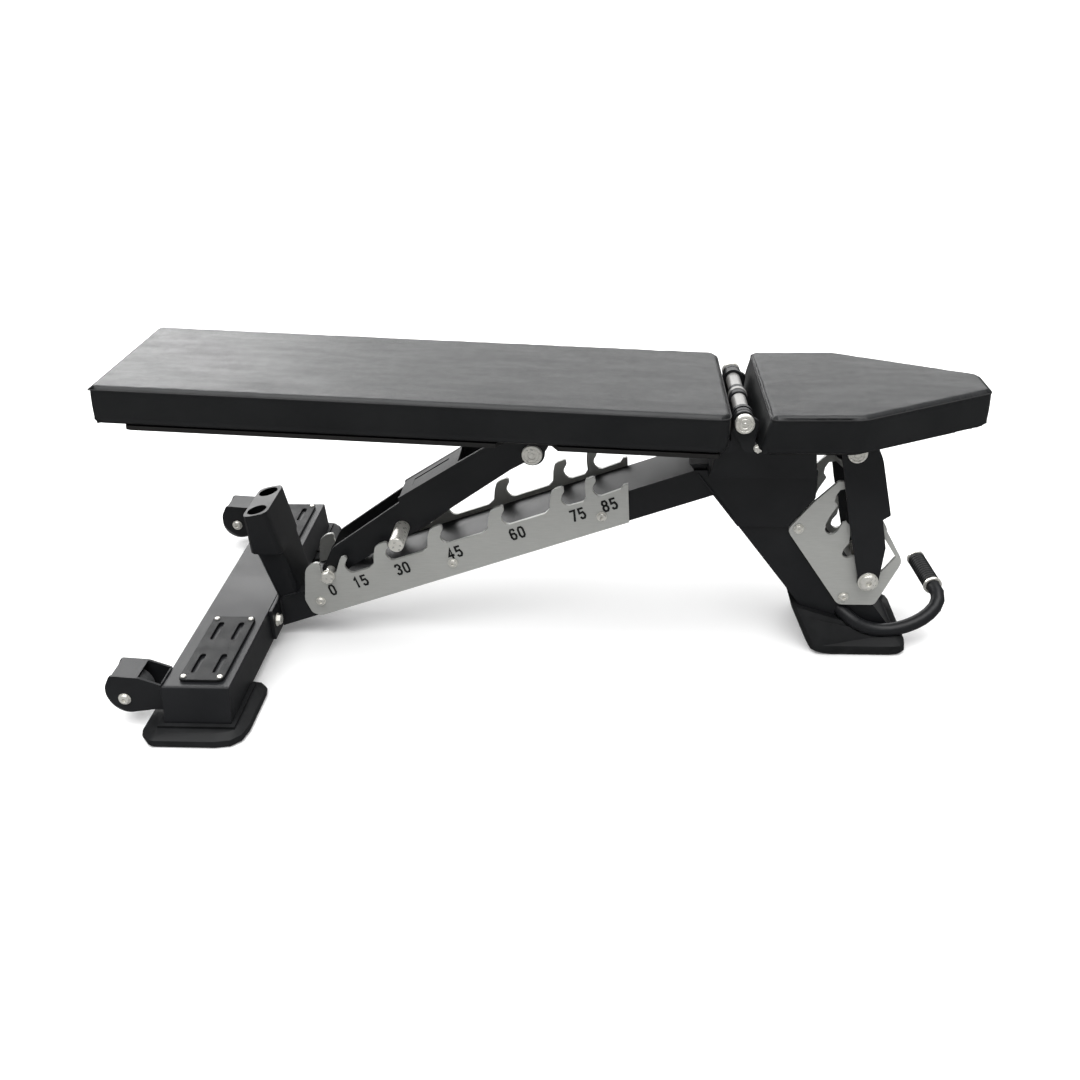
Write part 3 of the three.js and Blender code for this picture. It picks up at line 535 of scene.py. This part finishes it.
def inflate(obj, plan):
    """Swells the block by a cloth simulation: no point moves past the limit, or in from the plan's rim."""
    start = coordinates(obj.data)
    cloth = obj.modifiers.new("cloth", "CLOTH")
    cloth.settings.quality = 4
    cloth.settings.mass = 0.3
    cloth.settings.use_pressure = True
    cloth.settings.uniform_pressure_force = 4
    cloth.settings.effector_weights.gravity = 0
    cloth.collision_settings.use_collision = False
    cloth.point_cache.frame_end = CLOTH_FRAMES
    for step in range(1, CLOTH_FRAMES + 1):
        SCENE.frame_set(step)
    end = coordinates(evaluated(obj).to_mesh())
    obj.modifiers.remove(cloth)
    SCENE.frame_set(1)
    shift = end - start
    length = np.linalg.norm(shift, axis=1)
    shift *= np.minimum(1, SWELL_LIMIT / np.maximum(length, 1e-9))[:, None]
    depth, normal = inside(start, plan)
    inward = np.minimum(0, np.sum(shift[:, :2] * normal, axis=1)) * (depth < RIM_WIDTH)
    shift[:, :2] -= normal * inward[:, None]
    return start + shift


def draw_out(co, limit):
    """Draws the sides out to the outline, so that they stay as straight as a boxed cushion's."""
    skin, reach = 0.006, 0.012
    depth, normal = inside(co, limit)
    side = np.clip(1 - depth / reach, 0, 1)
    height = np.clip(-co[:, 2] / PAD_DEPTH, 0, 1)
    belly = 0.0004 + 0.0012 * (1 - np.sin(math.pi * height))
    want = np.where(depth < skin, belly, depth)
    push = (depth - want) * np.clip(side * 3, 0, 1)
    co[:, :2] += normal * push[:, None]


def flatten(co, depth):
    """Gives the top a slight crown that dies away at the rim, and lays the bottom on its board."""
    skin, rim, reach = 0.012, 0.004, 0.006
    below = -co[:, 2]
    crown = -0.0002 + 0.0012 * np.clip(depth / 0.05, 0, 1)
    over = (below < skin) & (depth > rim)
    co[:, 2] = np.where(over, np.minimum(crown, co[:, 2] + reach), co[:, 2])
    under = (below > PAD_DEPTH - skin) & (depth > rim)
    co[:, 2] = np.where(under, np.maximum(BOARD_GAP - PAD_DEPTH, co[:, 2] - reach), co[:, 2])


def tighten_edges(co, depth, normal):
    """Rounds the top and bottom edges to a tight corner; tuck is how far each is drawn in."""
    top = (0, 1, TOP_SQUARENESS, 0.0007)
    bottom = (PAD_DEPTH - 0.0002, -1, BOTTOM_SQUARENESS, 0.0004)
    for level, facing, power, tuck in (top, bottom):
        away = level - facing * co[:, 2]
        zone = (depth < EDGE) & (away < EDGE)
        a, b = EDGE - depth[zone], EDGE - away[zone]
        angle = np.arctan2(np.clip(b, 0, None), np.clip(a, 1e-6, None))
        reach = EDGE / (np.cos(angle) ** power + np.sin(angle) ** power) ** (1 / power) - tuck
        co[zone, :2] += normal[zone] * (reach * np.cos(angle) - a)[:, None]
        co[zone, 2] += facing * (reach * np.sin(angle) - b)


def pucker(co, depth, normal):
    """Adds small puckers along the rim, and the faint ripple of stretched vinyl."""
    width, height = 0.022, 0.02
    lift, swell = 0.0009, 0.0005
    rim = np.clip(1 - depth / width, 0, 1) * np.clip(1 + co[:, 2] / height, 0, 1)
    for i in np.nonzero(rim > 0.02)[0]:
        place = Vector(co[i])
        co[i, 2] += rim[i] * lift * noise.noise(place * 46)
        co[i, :2] += normal[i] * rim[i] * swell * noise.noise(place * 60 + Vector((7, 3, 1)))
    co[:, 2] = np.maximum(co[:, 2], -PAD_DEPTH + BOARD_GAP)


def cushion(name, node, plan, radii, matrix, body, lean=0.0):
    """A stuffed pad in its own frame, top at z = 0; lean is how far its lower edge at the hinge juts out."""
    obj = block(name, plan, radii)
    swollen = inflate(obj, rounded_plan(plan, radii))
    obj.data.vertices.foreach_set("co", swollen.ravel())
    apply_modifier(obj, "SUBSURF", levels=1)
    obj.data.name = name
    co = coordinates(obj.data)
    limit = rounded_plan(offset_plan(plan, SIDE_GAP), radii, 6)
    draw_out(co, limit)
    depth, normal = inside(co, limit)
    flatten(co, depth)
    tighten_edges(co, depth, normal)
    pucker(co, depth, normal)
    co[:, 0] += lean * co[:, 2] / PAD_DEPTH * np.clip(1 - (co[:, 0] - plan[0][0]) / LEAN_REACH, 0, 1)
    obj.data.vertices.foreach_set("co", co.ravel())
    obj.data.shade_smooth()
    obj.matrix_world = matrix
    SCENE.collection.objects.unlink(obj)
    link(obj, body, "pad_leather")
    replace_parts(obj, node)


cushion("back_cushion", "back_pad", BACK_PLAN, BACK_RADII, BACK_FRAME, "backrest")
cushion("seat_cushion", "seat_pad", SEAT_PLAN, SEAT_RADII, SEAT_FRAME, "seat", SEAT_LEAN)

SEAM_OUT = -0.0012
SEAM_HEIGHT = -0.0052
SEAM_RADIUS = 0.0011
SEAM_STEP = 0.012
SEAM_PLAN = [(x + SEAM_OUT if x == SEAT_START else x, y) for x, y in SEAT_PLAN]


def resample(points, step):
    """A closed line through points with a vertex about every step."""
    out = []
    for i, a in enumerate(points):
        b = points[(i + 1) % len(points)]
        pieces = max(1, round((Vector(b) - Vector(a)).length / step))
        out += [Vector(a).lerp(Vector(b), k / pieces) for k in range(pieces)]
    return out


def seam(name, plan, radii, matrix, body):
    """The seam that runs round a cushion just under its top edge."""
    line = resample(rounded_plan(offset_plan(plan, -SEAM_OUT), radii), SEAM_STEP)
    bm = bmesh.new()
    tube(bm, [Vector((*p, SEAM_HEIGHT)) for p in line], SEAM_RADIUS)
    bm.transform(matrix)
    from_bmesh(name, bm, body, "pad_leather", THREAD, angle=80)


seam("back_top_seam", BACK_PLAN, BACK_RADII, BACK_FRAME, "backrest")
seam("seat_top_seam", SEAM_PLAN, SEAT_RADII, SEAT_FRAME, "seat")

HEM_STEP = 0.003


def hem(name, start, end, radius):
    """A puckered fold of the cover along one top edge of the seat."""
    count = int((end - start).length / HEM_STEP)
    points, radii = [], []
    for i in range(count + 1):
        point = start.lerp(end, i / count)
        swell = 0.72 + 0.55 * noise.noise(point * 85)
        points.append(point + Vector((0, 0, 0.0004 * noise.noise(point * 50))))
        radii.append(radius * max(0.3, swell) * min(1, 0.2 + 8 * min(i, count - i) / count))
    bm = bmesh.new()
    tube(bm, points, radii, 8, closed=False)
    from_bmesh(name, bm, "seat", "pad_leather", angle=80)


hem("seat_hem_end", Vector((0.3337, -0.138, 0.4461)), Vector((0.3337, 0.138, 0.4461)), 0.0018)
hem("seat_hem_near", Vector((0.346, -0.1484, 0.4464)), Vector((0.455, -0.1484, 0.4464)), 0.0013)


# ---------------------------------------------------------------- turned parts
def turned_piece(name, node, body, profile, origin, axis=ALONG_Y, slot="zinc", segments=56, material=None):
    bm = bmesh.new()
    lathe(bm, profile, origin, axis, segments)
    obj = from_bmesh(name, bm, body, slot, material, 35)
    if node:
        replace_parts(obj, node)


def zinc_fitting(bm, node, body, angle=35):
    """Makes a plated piece of bm that stands for a CAD node."""
    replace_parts(from_bmesh(f"{node}_turned", bm, body, "zinc", angle=angle), node)


def cap_profile(radius, inner, outer):
    """A pressed cap: rounded rim, a groove, a raised ring and a shallow dish with a centre mark."""
    r = radius
    return [
        (0, inner),
        (r - 0.0006, inner),
        (r, inner + 0.0006),
        (r, outer - 0.0016),
        (r - 0.0004, outer - 0.0006),
        (r - 0.0014, outer),
        (r - 0.0034, outer),
        (r - 0.0040, outer - 0.0009),
        (r - 0.0050, outer - 0.0010),
        (r - 0.0056, outer - 0.0004),
        (r * 0.44, outer - 0.0004),
        (r * 0.40, outer - 0.0012),
        (r * 0.22, outer - 0.0013),
        (r * 0.17, outer - 0.0006),
        (0, outer - 0.0005),
    ]


def socket_profile(radius, low, high, socket, depth=0.0028):
    """A button head with a hexagon socket, standing from low to high."""
    rise = high - low
    dome = []
    for i in range(6):
        t = math.pi / 2 * i / 5
        r = radius - (radius - socket * 1.35) * (1 - math.cos(t))
        dome.append((r, low + rise * (0.25 + 0.75 * math.sin(t))))
    return [
        (0, low),
        (radius, low),
        *dome,
        (socket * 1.08, high, 1),
        (socket, high - 0.0003, 1),
        (socket, high - depth, 1),
        (0, high - depth),
    ]


# Radius, inner face and outer face of each silver cap, outward from the bench's middle plane.
HINGE_CAP = cap_profile(0.0145, 0.112, 0.122)
ARM_CAP = cap_profile(0.016, 0.0843, 0.091)
LINK_CAP = cap_profile(0.015, 0.069, 0.077)
PIN = 0.008

for side, sign in SIDES:
    out = (0, sign, 0)
    turned_piece(f"hinge_cap_{side}_turned", f"hinge_cap_{side}", "base", HINGE_CAP, at(HINGE), out)
    turned_piece(f"arm_cap_{side}_turned", f"arm_pin_cap_{side}", "backrest", ARM_CAP, at(ARM_PIVOT), out)

bm = bmesh.new()
for _, sign in SIDES:
    lathe(bm, LINK_CAP, at(LINK_PIVOT), (0, sign, 0))
lathe(bm, rounded(PIN, -0.0695, 0.0695), at(LINK_PIVOT), ALONG_Y)
zinc_fitting(bm, "link_pin", "seat")

bm = bmesh.new()
for _, sign in SIDES:
    lathe(bm, rounded(0.0165, 0.0683, 0.0703, 0.0005), at(LINK_BOLT), (0, sign, 0))
    lathe(bm, socket_profile(0.0142, 0.0703, 0.0765, 0.0052, 0.0038), at(LINK_BOLT), (0, sign, 0), 60)
lathe(bm, rounded(PIN, -0.069, 0.069), at(LINK_BOLT), ALONG_Y)
zinc_fitting(bm, "link_bolt", "seat_link")

ROD = 0.009
ROD_END = 0.1117
SLEEVE_RIM, SLEEVE_RADIUS, SLEEVE_CHAMFER = 0.0107, 0.0115, 0.0008
SLEEVES = ((0.0170, 0.0757), (0.1046, ROD_END))


def rod_profile():
    """The hinge rod with its spacer sleeves, rounded at every step."""
    half = [(ROD, SLEEVES[0][0])]
    for a, b in SLEEVES:
        half += [(SLEEVE_RIM, a), (SLEEVE_RADIUS, a + SLEEVE_CHAMFER)]
        half += [(SLEEVE_RADIUS, b - SLEEVE_CHAMFER), (SLEEVE_RIM, b), (ROD, b)]
    half = half[:-1]
    return [(0, -ROD_END), *((r, -y) for r, y in reversed(half)), *half, (0, ROD_END)]


COLLAR_PROFILE = [
    (0.0095, -0.0167),
    (0.0132, -0.0167),
    (0.0140, -0.0159),
    (0.0140, 0.0159),
    (0.0132, 0.0167),
    (0.0095, 0.0167),
    (0.0095, -0.0167),
]
COLLAR_RING_PROFILE = [(0.0135, -0.0045), (0.0148, -0.0040), (0.0148, 0.0040), (0.0135, 0.0045)]

turned_piece("hinge_rod_turned", "hinge_rod", "base", rod_profile(), at(HINGE), material=SLEEVE)
turned_piece("hinge_collar_turned", "hinge_collar", "base", COLLAR_PROFILE, at(HINGE), slot="frame_paint")
turned_piece("hinge_collar_ring", None, "base", COLLAR_RING_PROFILE, at(HINGE), material=SLEEVE)
turned_piece("arm_grip_turned", "arm_grip", "arm", rounded(0.0125, -0.100, 0.100, 0.0022), centre("arm_grip"))
turned_piece("arm_pin_turned", "arm_pin", "backrest", rounded(PIN, -0.084, 0.084), at(ARM_PIVOT))

rod = centre("lock_rod")
bm = bmesh.new()
lathe(bm, rounded(PIN, -0.060, 0.060), rod, ALONG_Y)
for _, sign in SIDES:
    hexagon(bm, rod, (0, sign, 0), 0.0195, 0.0592, 0.0672, turn=0.3)
    lathe(bm, rounded(0.0118, 0.0578, 0.0590, 0.0004), rod, (0, sign, 0))
zinc_fitting(bm, "lock_rod", "arm", 30)

BOLT = 0.005
LADDER_WASHER = rounded(0.0085, 0.0567, 0.0578, 0.0003)
LADDER_HEAD = socket_profile(0.0068, 0.0578, 0.0612, 0.0028, 0.0022)
LADDER_BOLTS = ((-0.0365, -0.048), (0.2077, -0.052), (0.470, -0.050))
SEAT_LADDER_BOLTS = ((0.402, 0.220), (0.485, 0.094))
FLANGE_BOLT = (-0.4664, 0.078, 0.051)


def ladder_bolt(node, place):
    """A bolt through two ladder plates, with a washer and a socket head at each end."""
    bm = bmesh.new()
    lathe(bm, rounded(BOLT, -0.0575, 0.0575), place, ALONG_Y, 32)
    for _, sign in SIDES:
        lathe(bm, LADDER_WASHER, place, (0, sign, 0), 36)
        lathe(bm, LADDER_HEAD, place, (0, sign, 0), 36)
    zinc_fitting(bm, node, "base")


for i, (along, across) in enumerate(LADDER_BOLTS):
    ladder_bolt(f"ladder_bolt_{i + 1}", rack_point(along, across, 0))
for i, spot in enumerate(SEAT_LADDER_BOLTS):
    ladder_bolt(f"seat_ladder_bolt_{i + 1}", at(spot))

for side, sign in SIDES:
    place = mirrored(FLANGE_BOLT, sign)
    bm = bmesh.new()
    lathe(bm, rounded(0.0115, 0.0002, 0.0016, 0.0004), place, ALONG_X, 40)
    hexagon(bm, place, ALONG_X, 0.0160, 0.0015, 0.0082, turn=0.2)
    lathe(bm, rounded(BOLT, -0.015, 0.001), place, ALONG_X, 32)
    zinc_fitting(bm, f"flange_bolt_{side}", "base", 30)


# ---------------------------------------------------------------- wheels
def roller_profile():
    """One half of the roller from its bore to its tread, mirrored."""
    half = [
        (0.0063, 0.0168),
        (0.0110, 0.0168),
        (0.0118, 0.0150),
        (0.0250, 0.0135),
        (0.0262, 0.0168),
        (0.0305, 0.0170),
        (0.0325, 0.0160),
        (0.0334, 0.0138),
        (0.0335, 0.0020),
        (0.0329, 0.0012),
    ]
    return half + [(r, -y) for r, y in reversed(half)] + [half[0]]


AXLE_WASHER = rounded(0.0098, 0.0263, 0.0275, 0.0003)
AXLE_HEAD = socket_profile(0.0085, 0.0275, 0.0312, 0.0034, 0.0024)

for side, sign in SIDES:
    hub = at(WHEEL_AXLE, sign * WHEEL_Y)
    roller = (f"roller_{side}_turned", f"roller_{side}", f"wheel_{side}")
    turned_piece(*roller, roller_profile(), hub, slot="roller_plastic", segments=72)
    bm = bmesh.new()
    lathe(bm, rounded(0.006, -0.0262, 0.0262), hub, ALONG_Y, 40)
    for end in (-1, 1):
        lathe(bm, AXLE_WASHER, hub, (0, end, 0), 40)
        lathe(bm, AXLE_HEAD, hub, (0, end, 0), 42)
    zinc_fitting(bm, f"wheel_axle_{side}", "base")


# ---------------------------------------------------------------- transport handle
GRIP_START = Vector((0.646, -0.006, 0.083))
GRIP_END = Vector((0.6365, 0.084, 0.0885))
GRIP_AXIS = (GRIP_END - GRIP_START).normalized()
GRIP_LENGTH = (GRIP_END - GRIP_START).length
HANDLE_BAR = 0.0120
RING_PROFILE = [
    (HANDLE_BAR, 0.006),
    (0.0150, 0.006),
    (0.0155, 0.0066),
    (0.0155, 0.0104),
    (0.0150, 0.011),
    (HANDLE_BAR, 0.011),
]


def ribs(start, end, low, high, pitch):
    """A sleeve profile with rounded ribs."""
    points = [(HANDLE_BAR, start), (low, start)]
    y = start + pitch * 0.4
    while y + pitch < end:
        points += [(low, y), (high, y + pitch * 0.18), (high, y + pitch * 0.6), (low, y + pitch * 0.78)]
        y += pitch
    return points + [(low, end), (HANDLE_BAR, end)]


for node, profile, slot in (
    ("transport_ring", RING_PROFILE, "zinc"),
    ("transport_grip", ribs(0.0113, GRIP_LENGTH - 0.001, 0.0137, 0.0145, 0.0062), "boot_rubber"),
    ("transport_cap", cap_profile(0.015, GRIP_LENGTH + 0.0004, GRIP_LENGTH + 0.007), "zinc"),
):
    turned_piece(f"{node}_turned", node, "base", profile, GRIP_START, GRIP_AXIS, slot)


# ---------------------------------------------------------------- dial numbers
STROKE = 0.0036
GLYPH_WIDTH, GLYPH_HEIGHT = 0.0116, 0.0215
GLYPH_HALF = ((GLYPH_WIDTH - STROKE) / 2, (GLYPH_HEIGHT - STROKE) / 2)
GLYPH_PITCH = 0.0142
DIAL_ACROSS = -0.0345
DIAL_FACE = 0.0563
MITRE_LIMIT = 0.45
INLAY = (-0.0003, 0.0002)

# Each glyph is a list of strokes in units of GLYPH_HALF, centred on the digit.
OVAL = [(-1, -0.62), (-0.5, -1), (0.5, -1), (1, -0.62), (1, 0.62), (0.5, 1), (-0.5, 1), (-1, 0.62)]
BOWL = [(1, -0.3), (1, -0.62), (0.5, -1), (-0.5, -1), (-1, -0.62)]
SIX_CURL = [(0.95, 0.6), (0.5, 1), (-0.5, 1), (-1, 0.62), (-1, -0.62), (-0.5, -1), (0.5, -1)]
GLYPHS = {
    "0": [OVAL],
    "1": [[(-0.8, 0.5), (0.1, 0.98), (0.1, -1.2)]],
    "3": [
        [(-1, 0.6), (-0.5, 1), (0.5, 1), (1, 0.62), (1, 0.36), (0.45, 0.05), (-0.2, 0.05)],
        [(0.45, 0.05), *BOWL],
    ],
    "4": [[(0.35, -1.2), (0.35, 1), (-1.05, -0.45), (1.35, -0.45)]],
    "5": [[(1.1, 1), (-0.9, 1), (-0.95, 0.1), (0.5, 0.2), *BOWL]],
    "6": [[*SIX_CURL, (1, -0.62), (1, -0.2), (0.5, 0.12), (-0.8, 0.1)]],
    "7": [[(-1.2, 1), (1, 1), (-0.3, -1.2)]],
    "8": [
        [(-0.9, 0.65), (-0.5, 1), (0.5, 1), (0.9, 0.65), (0.9, 0.4), (0.5, 0.08), (-0.5, 0.08), (-0.9, 0.4)],
        [(-1, -0.3), (-0.5, 0.08), (0.5, 0.08), (1, -0.3), (1, -0.62), (0.5, -1), (-0.5, -1), (-1, -0.62)],
    ],
}
# The strokes of a digit that close into a loop.
LOOPS = {"0": (0,), "8": (0, 1)}
# Each number's place along the rack.
NUMBERS = {"0": -0.008, "15": 0.045, "30": 0.1225, "45": 0.218, "60": 0.3295, "75": 0.4345, "85": 0.4885}


def ribbon(bm, points, half, closed):
    """Adds a flat stroke along points, mitred at its corners, just proud of the plane z = 0."""
    count = len(points)
    low, high = INLAY
    rings = []
    for i, here in enumerate(points):
        before = points[i - 1] if closed or i else None
        after = points[(i + 1) % count] if closed or i + 1 < count else None
        ends = [(before, here), (here, after)]
        steps = [(q - p).normalized() for p, q in ends if p is not None and q is not None]
        normals = [Vector((-d.y, d.x)) for d in steps]
        mid = sum(normals, Vector((0, 0))).normalized()
        offset = mid * half / max(MITRE_LIMIT, mid.dot(normals[0]))
        section = ((1, low), (1, high), (-1, high), (-1, low))
        rings.append([bm.verts.new((*(here + offset * k), z)) for k, z in section])
    join_rings(bm, rings, closed)


def number(text, along, side, sign):
    """A number inlaid in the outer face of a ladder plate, upright on its slope."""
    bm = bmesh.new()
    for k, digit in enumerate(text):
        shift = (k - (len(text) - 1) / 2) * GLYPH_PITCH
        for n, line in enumerate(GLYPHS[digit]):
            points = [Vector((x * GLYPH_HALF[0] + shift, y * GLYPH_HALF[1])) for x, y in line]
            ribbon(bm, points, STROKE / 2, n in LOOPS.get(digit, ()))
    right = Vector((math.cos(RACK_ANGLE), 0, math.sin(RACK_ANGLE))) * -sign
    up = Vector((-math.sin(RACK_ANGLE), 0, math.cos(RACK_ANGLE)))
    turn = Matrix((right, up, Vector((0, sign, 0)))).transposed().to_4x4()
    bm.transform(Matrix.Translation(rack_point(along, DIAL_ACROSS, sign * DIAL_FACE)) @ turn)
    from_bmesh(f"number_{text}_{side}", bm, "base", "rack_paint", INK)


for text, along in NUMBERS.items():
    for side, sign in SIDES:
        number(text, along, side, sign)


# ---------------------------------------------------------------- welds
FLANGE_X = -0.4655
FLANGE_TOP = (-0.4665, 0.046, 0.0772)
GUSSET_TOP, GUSSET_LOW, GUSSET_Y = 0.318, 0.236, 0.0565
RECEIVER_START, RECEIVER_END = -0.462, -0.436
EAR_START, EAR_END, EAR_Y, EAR_Z = 0.254, 0.352, 0.0575, 0.3235
BRACKET_TOP = ((-0.5785, 0.267, 0.0795), (-0.5785, 0.3125, 0.0795))
BRACKET_SIDE_X, BRACKET_LOW, BRACKET_HIGH = -0.5787, 0.040, 0.076
BRACKET_SIDES = (0.2639, 0.3161)


def weld(name, start, end, radius=0.0026, pitch=0.0042):
    """A rippled bead between two points."""
    start, end = Vector(start), Vector(end)
    length = (end - start).length
    count = max(6, int(length / pitch * 4))
    points, radii = [], []
    for i in range(count + 1):
        t = i / count
        ripple = 0.5 + 0.5 * math.cos(2 * math.pi * t * length / pitch)
        wander = noise.noise(start.lerp(end, t) * 90) * 0.0003
        points.append(start.lerp(end, t) + Vector((0, 0, wander)))
        taper = min(1, 8 * min(t, 1 - t) + 0.3)
        radii.append((radius * (0.84 + 0.16 * ripple)) * taper)
    bm = bmesh.new()
    tube(bm, points, radii, 8, closed=False)
    from_bmesh(name, bm, "base", "frame_paint", angle=80)


def spine_edge(x, across=-0.024):
    """Height at x of a line along the spine; across is its distance from the rack's own axis."""
    base = rack_point(0, across, 0)
    return base.z + (x - base.x) * math.tan(RACK_ANGLE)


def leg_left(z):
    """Left edge of the leg at height z."""
    return 0.267 + 0.150 * (0.273 - z) / 0.200


for side, sign in SIDES:
    flange_y = sign * 0.0502
    foot = (FLANGE_X, flange_y, spine_edge(FLANGE_X, -0.075) + 0.003)
    weld(f"weld_flange_{side}", foot, (FLANGE_X, flange_y, spine_edge(FLANGE_X) - 0.002))
    gusset = [(leg_left(z) + 0.004, sign * GUSSET_Y, z) for z in (GUSSET_TOP, GUSSET_LOW)]
    weld(f"weld_gusset_{side}", *gusset, radius=0.0016)
    low = (RECEIVER_START, sign * 0.0484, spine_edge(RECEIVER_START) + 0.001)
    high = (RECEIVER_END, sign * 0.0490, spine_edge(RECEIVER_END) + 0.001)
    weld(f"weld_receiver_{side}", low, high, radius=0.002)
    ear = [(x, sign * EAR_Y, EAR_Z) for x in (EAR_START, EAR_END)]
    weld(f"weld_ear_{side}", *ear, radius=0.0018)
    weld(f"weld_bracket_top_{side}", *(mirrored(place, sign) for place in BRACKET_TOP), radius=0.0018)
    for k, y in enumerate(BRACKET_SIDES):
        upright = [(BRACKET_SIDE_X, sign * y, z) for z in (BRACKET_LOW, BRACKET_HIGH)]
        weld(f"weld_bracket_{side}_{k}", *upright, radius=0.0016)
weld("weld_flange_top", mirrored(FLANGE_TOP, -1), FLANGE_TOP, radius=0.0018)


# ---------------------------------------------------------------- screws and small bolts
STEP_SCREW = (0.0045, 0.0022)
BOARD_SCREW = (0.0055, 0.0028)
BOARD_FACE = -PAD_DEPTH - 0.0075
RAIL_FACE = -PAD_DEPTH - 0.0272
SEAT_BOARD_FACE = 0.3804
STEP_FACE = 0.0828
STEP_SCREW_X = (-0.5495, -0.4925)
STEP_SCREW_Y = (0.1285, 0.2945)
BACK_SCREW_ROWS = (-0.85, -0.62, -0.39, -0.16)
BACK_SCREW_COLUMNS = ((0.060, RAIL_FACE), (0.118, BOARD_FACE))
SEAT_SCREWS = ((0.366, 0.118), (0.440, 0.118), (0.575, 0.055))
KNUCKLE_BOLT = (0.3215, 0.1043, 0.3805)


def screw(bm, place, axis, size):
    radius, height = size
    lathe(bm, socket_profile(radius, 0.0, height, radius * 0.42, height * 0.7), place, axis, 30)


for side, sign in SIDES:
    bm = bmesh.new()
    for x in STEP_SCREW_X:
        for y in STEP_SCREW_Y:
            screw(bm, (x, sign * y, STEP_FACE), ALONG_Z, STEP_SCREW)
    from_bmesh(f"step_screws_{side}", bm, "base", "zinc", angle=35)

bm = bmesh.new()
down = BACK_FRAME.to_3x3() @ Vector((0, 0, -1))
for along in BACK_SCREW_ROWS:
    for y, face in BACK_SCREW_COLUMNS:
        for _, sign in SIDES:
            screw(bm, BACK_FRAME @ Vector((along, sign * y, face)), down, BOARD_SCREW)
from_bmesh("back_board_screws", bm, "backrest", "zinc", angle=35)

bm = bmesh.new()
for x, y in SEAT_SCREWS:
    for _, sign in SIDES:
        screw(bm, (x, sign * y, SEAT_BOARD_FACE), (0, 0, -1), BOARD_SCREW)
from_bmesh("seat_board_screws", bm, "seat", "zinc", angle=35)

for side, sign in SIDES:
    bm = bmesh.new()
    place = mirrored(KNUCKLE_BOLT, sign)
    lathe(bm, rounded(0.0068, 0.0, 0.0011, 0.0003), place, (0, sign, 0), 36)
    hexagon(bm, place, (0, sign, 0), 0.0108, 0.0011, 0.0058, 0.0008, 0.4)
    from_bmesh(f"knuckle_bolt_{side}", bm, "seat", "zinc", angle=30)


# ---------------------------------------------------------------- stage
CAMERA_PLACE = (0.1044, -1.6764, 1.0586)
YAW, PITCH, ROLL = -0.07326, 0.48798, -0.02772
SENSOR_WIDTH = 36
LENS = 37.4258333
WORLD_STRENGTH = 0.18
SUN_STRENGTH = 4.2
FLOOR_HALF = 60


def camera():
    forward = Vector((math.sin(YAW) * math.cos(PITCH), math.cos(YAW) * math.cos(PITCH), -math.sin(PITCH)))
    level = Vector((math.cos(YAW), -math.sin(YAW), 0))
    rise = level.cross(forward)
    right = level * math.cos(ROLL) + rise * math.sin(ROLL)
    up = rise * math.cos(ROLL) - level * math.sin(ROLL)
    data = bpy.data.cameras.new("camera")
    data.sensor_width = SENSOR_WIDTH
    data.lens = LENS
    data.clip_end = 200
    obj = bpy.data.objects.new("camera", data)
    turn = Matrix((right, up, -forward)).transposed().to_4x4()
    obj.matrix_world = Matrix.Translation(CAMERA_PLACE) @ turn
    SCENE.collection.objects.link(obj)
    SCENE.camera = obj


def softbox(name, place, aim, size, power):
    data = bpy.data.lights.new(name, "AREA")
    data.shape = "RECTANGLE"
    data.size, data.size_y = size
    data.energy = power
    obj = bpy.data.objects.new(name, data)
    direction = Vector(aim) - Vector(place)
    obj.rotation_euler = direction.to_track_quat("-Z", "Y").to_euler()
    obj.location = place
    SCENE.collection.objects.link(obj)


def lights():
    """A dim white room, two softboxes behind the bench and a broad light overhead."""
    world = bpy.data.worlds.new("studio")
    world.use_nodes = True
    background = world.node_tree.nodes["Background"]
    background.inputs["Color"].default_value = (1, 1, 1, 1)
    background.inputs["Strength"].default_value = WORLD_STRENGTH
    SCENE.world = world
    softbox("back_softbox", (-0.6, 4.4, 2.5), (-0.2, 0, 0.45), (8.0, 3.0), 175)
    softbox("left_softbox", (-3.0, 3.9, 2.4), (-0.4, 0, 0.45), (3.2, 2.6), 95)
    sun = bpy.data.lights.new("overhead", "SUN")
    sun.energy = SUN_STRENGTH
    sun.angle = math.radians(70)
    overhead = bpy.data.objects.new("overhead", sun)
    overhead.rotation_euler = (math.radians(12), 0, 0)
    SCENE.collection.objects.link(overhead)


def floor():
    """A pale floor that fades into the white background."""
    half = FLOOR_HALF
    mesh = bpy.data.meshes.new("floor")
    corners = [(-half, -half, 0), (half, -half, 0), (half, half, 0), (-half, half, 0)]
    mesh.from_pydata(corners, [], [(0, 1, 2, 3)])
    obj = bpy.data.objects.new("floor", mesh)
    m = Nodes("pale_floor")
    mottle = m.noise(1.5, 2, 0.5)
    tone = m.ramp(mottle, (0.3, (0.86, 0.86, 0.86)), (0.7, (0.88, 0.88, 0.88)))
    mesh.materials.append(m.finish(tone))
    m.set(Specular_IOR_Level=0.0, Roughness=0.9, Emission_Color=(1, 1, 1, 1), Emission_Strength=0.16)
    SCENE.collection.objects.link(obj)
    obj.visible_glossy = False


camera()
lights()
floor()
SCENE.view_settings.view_transform = "Standard"
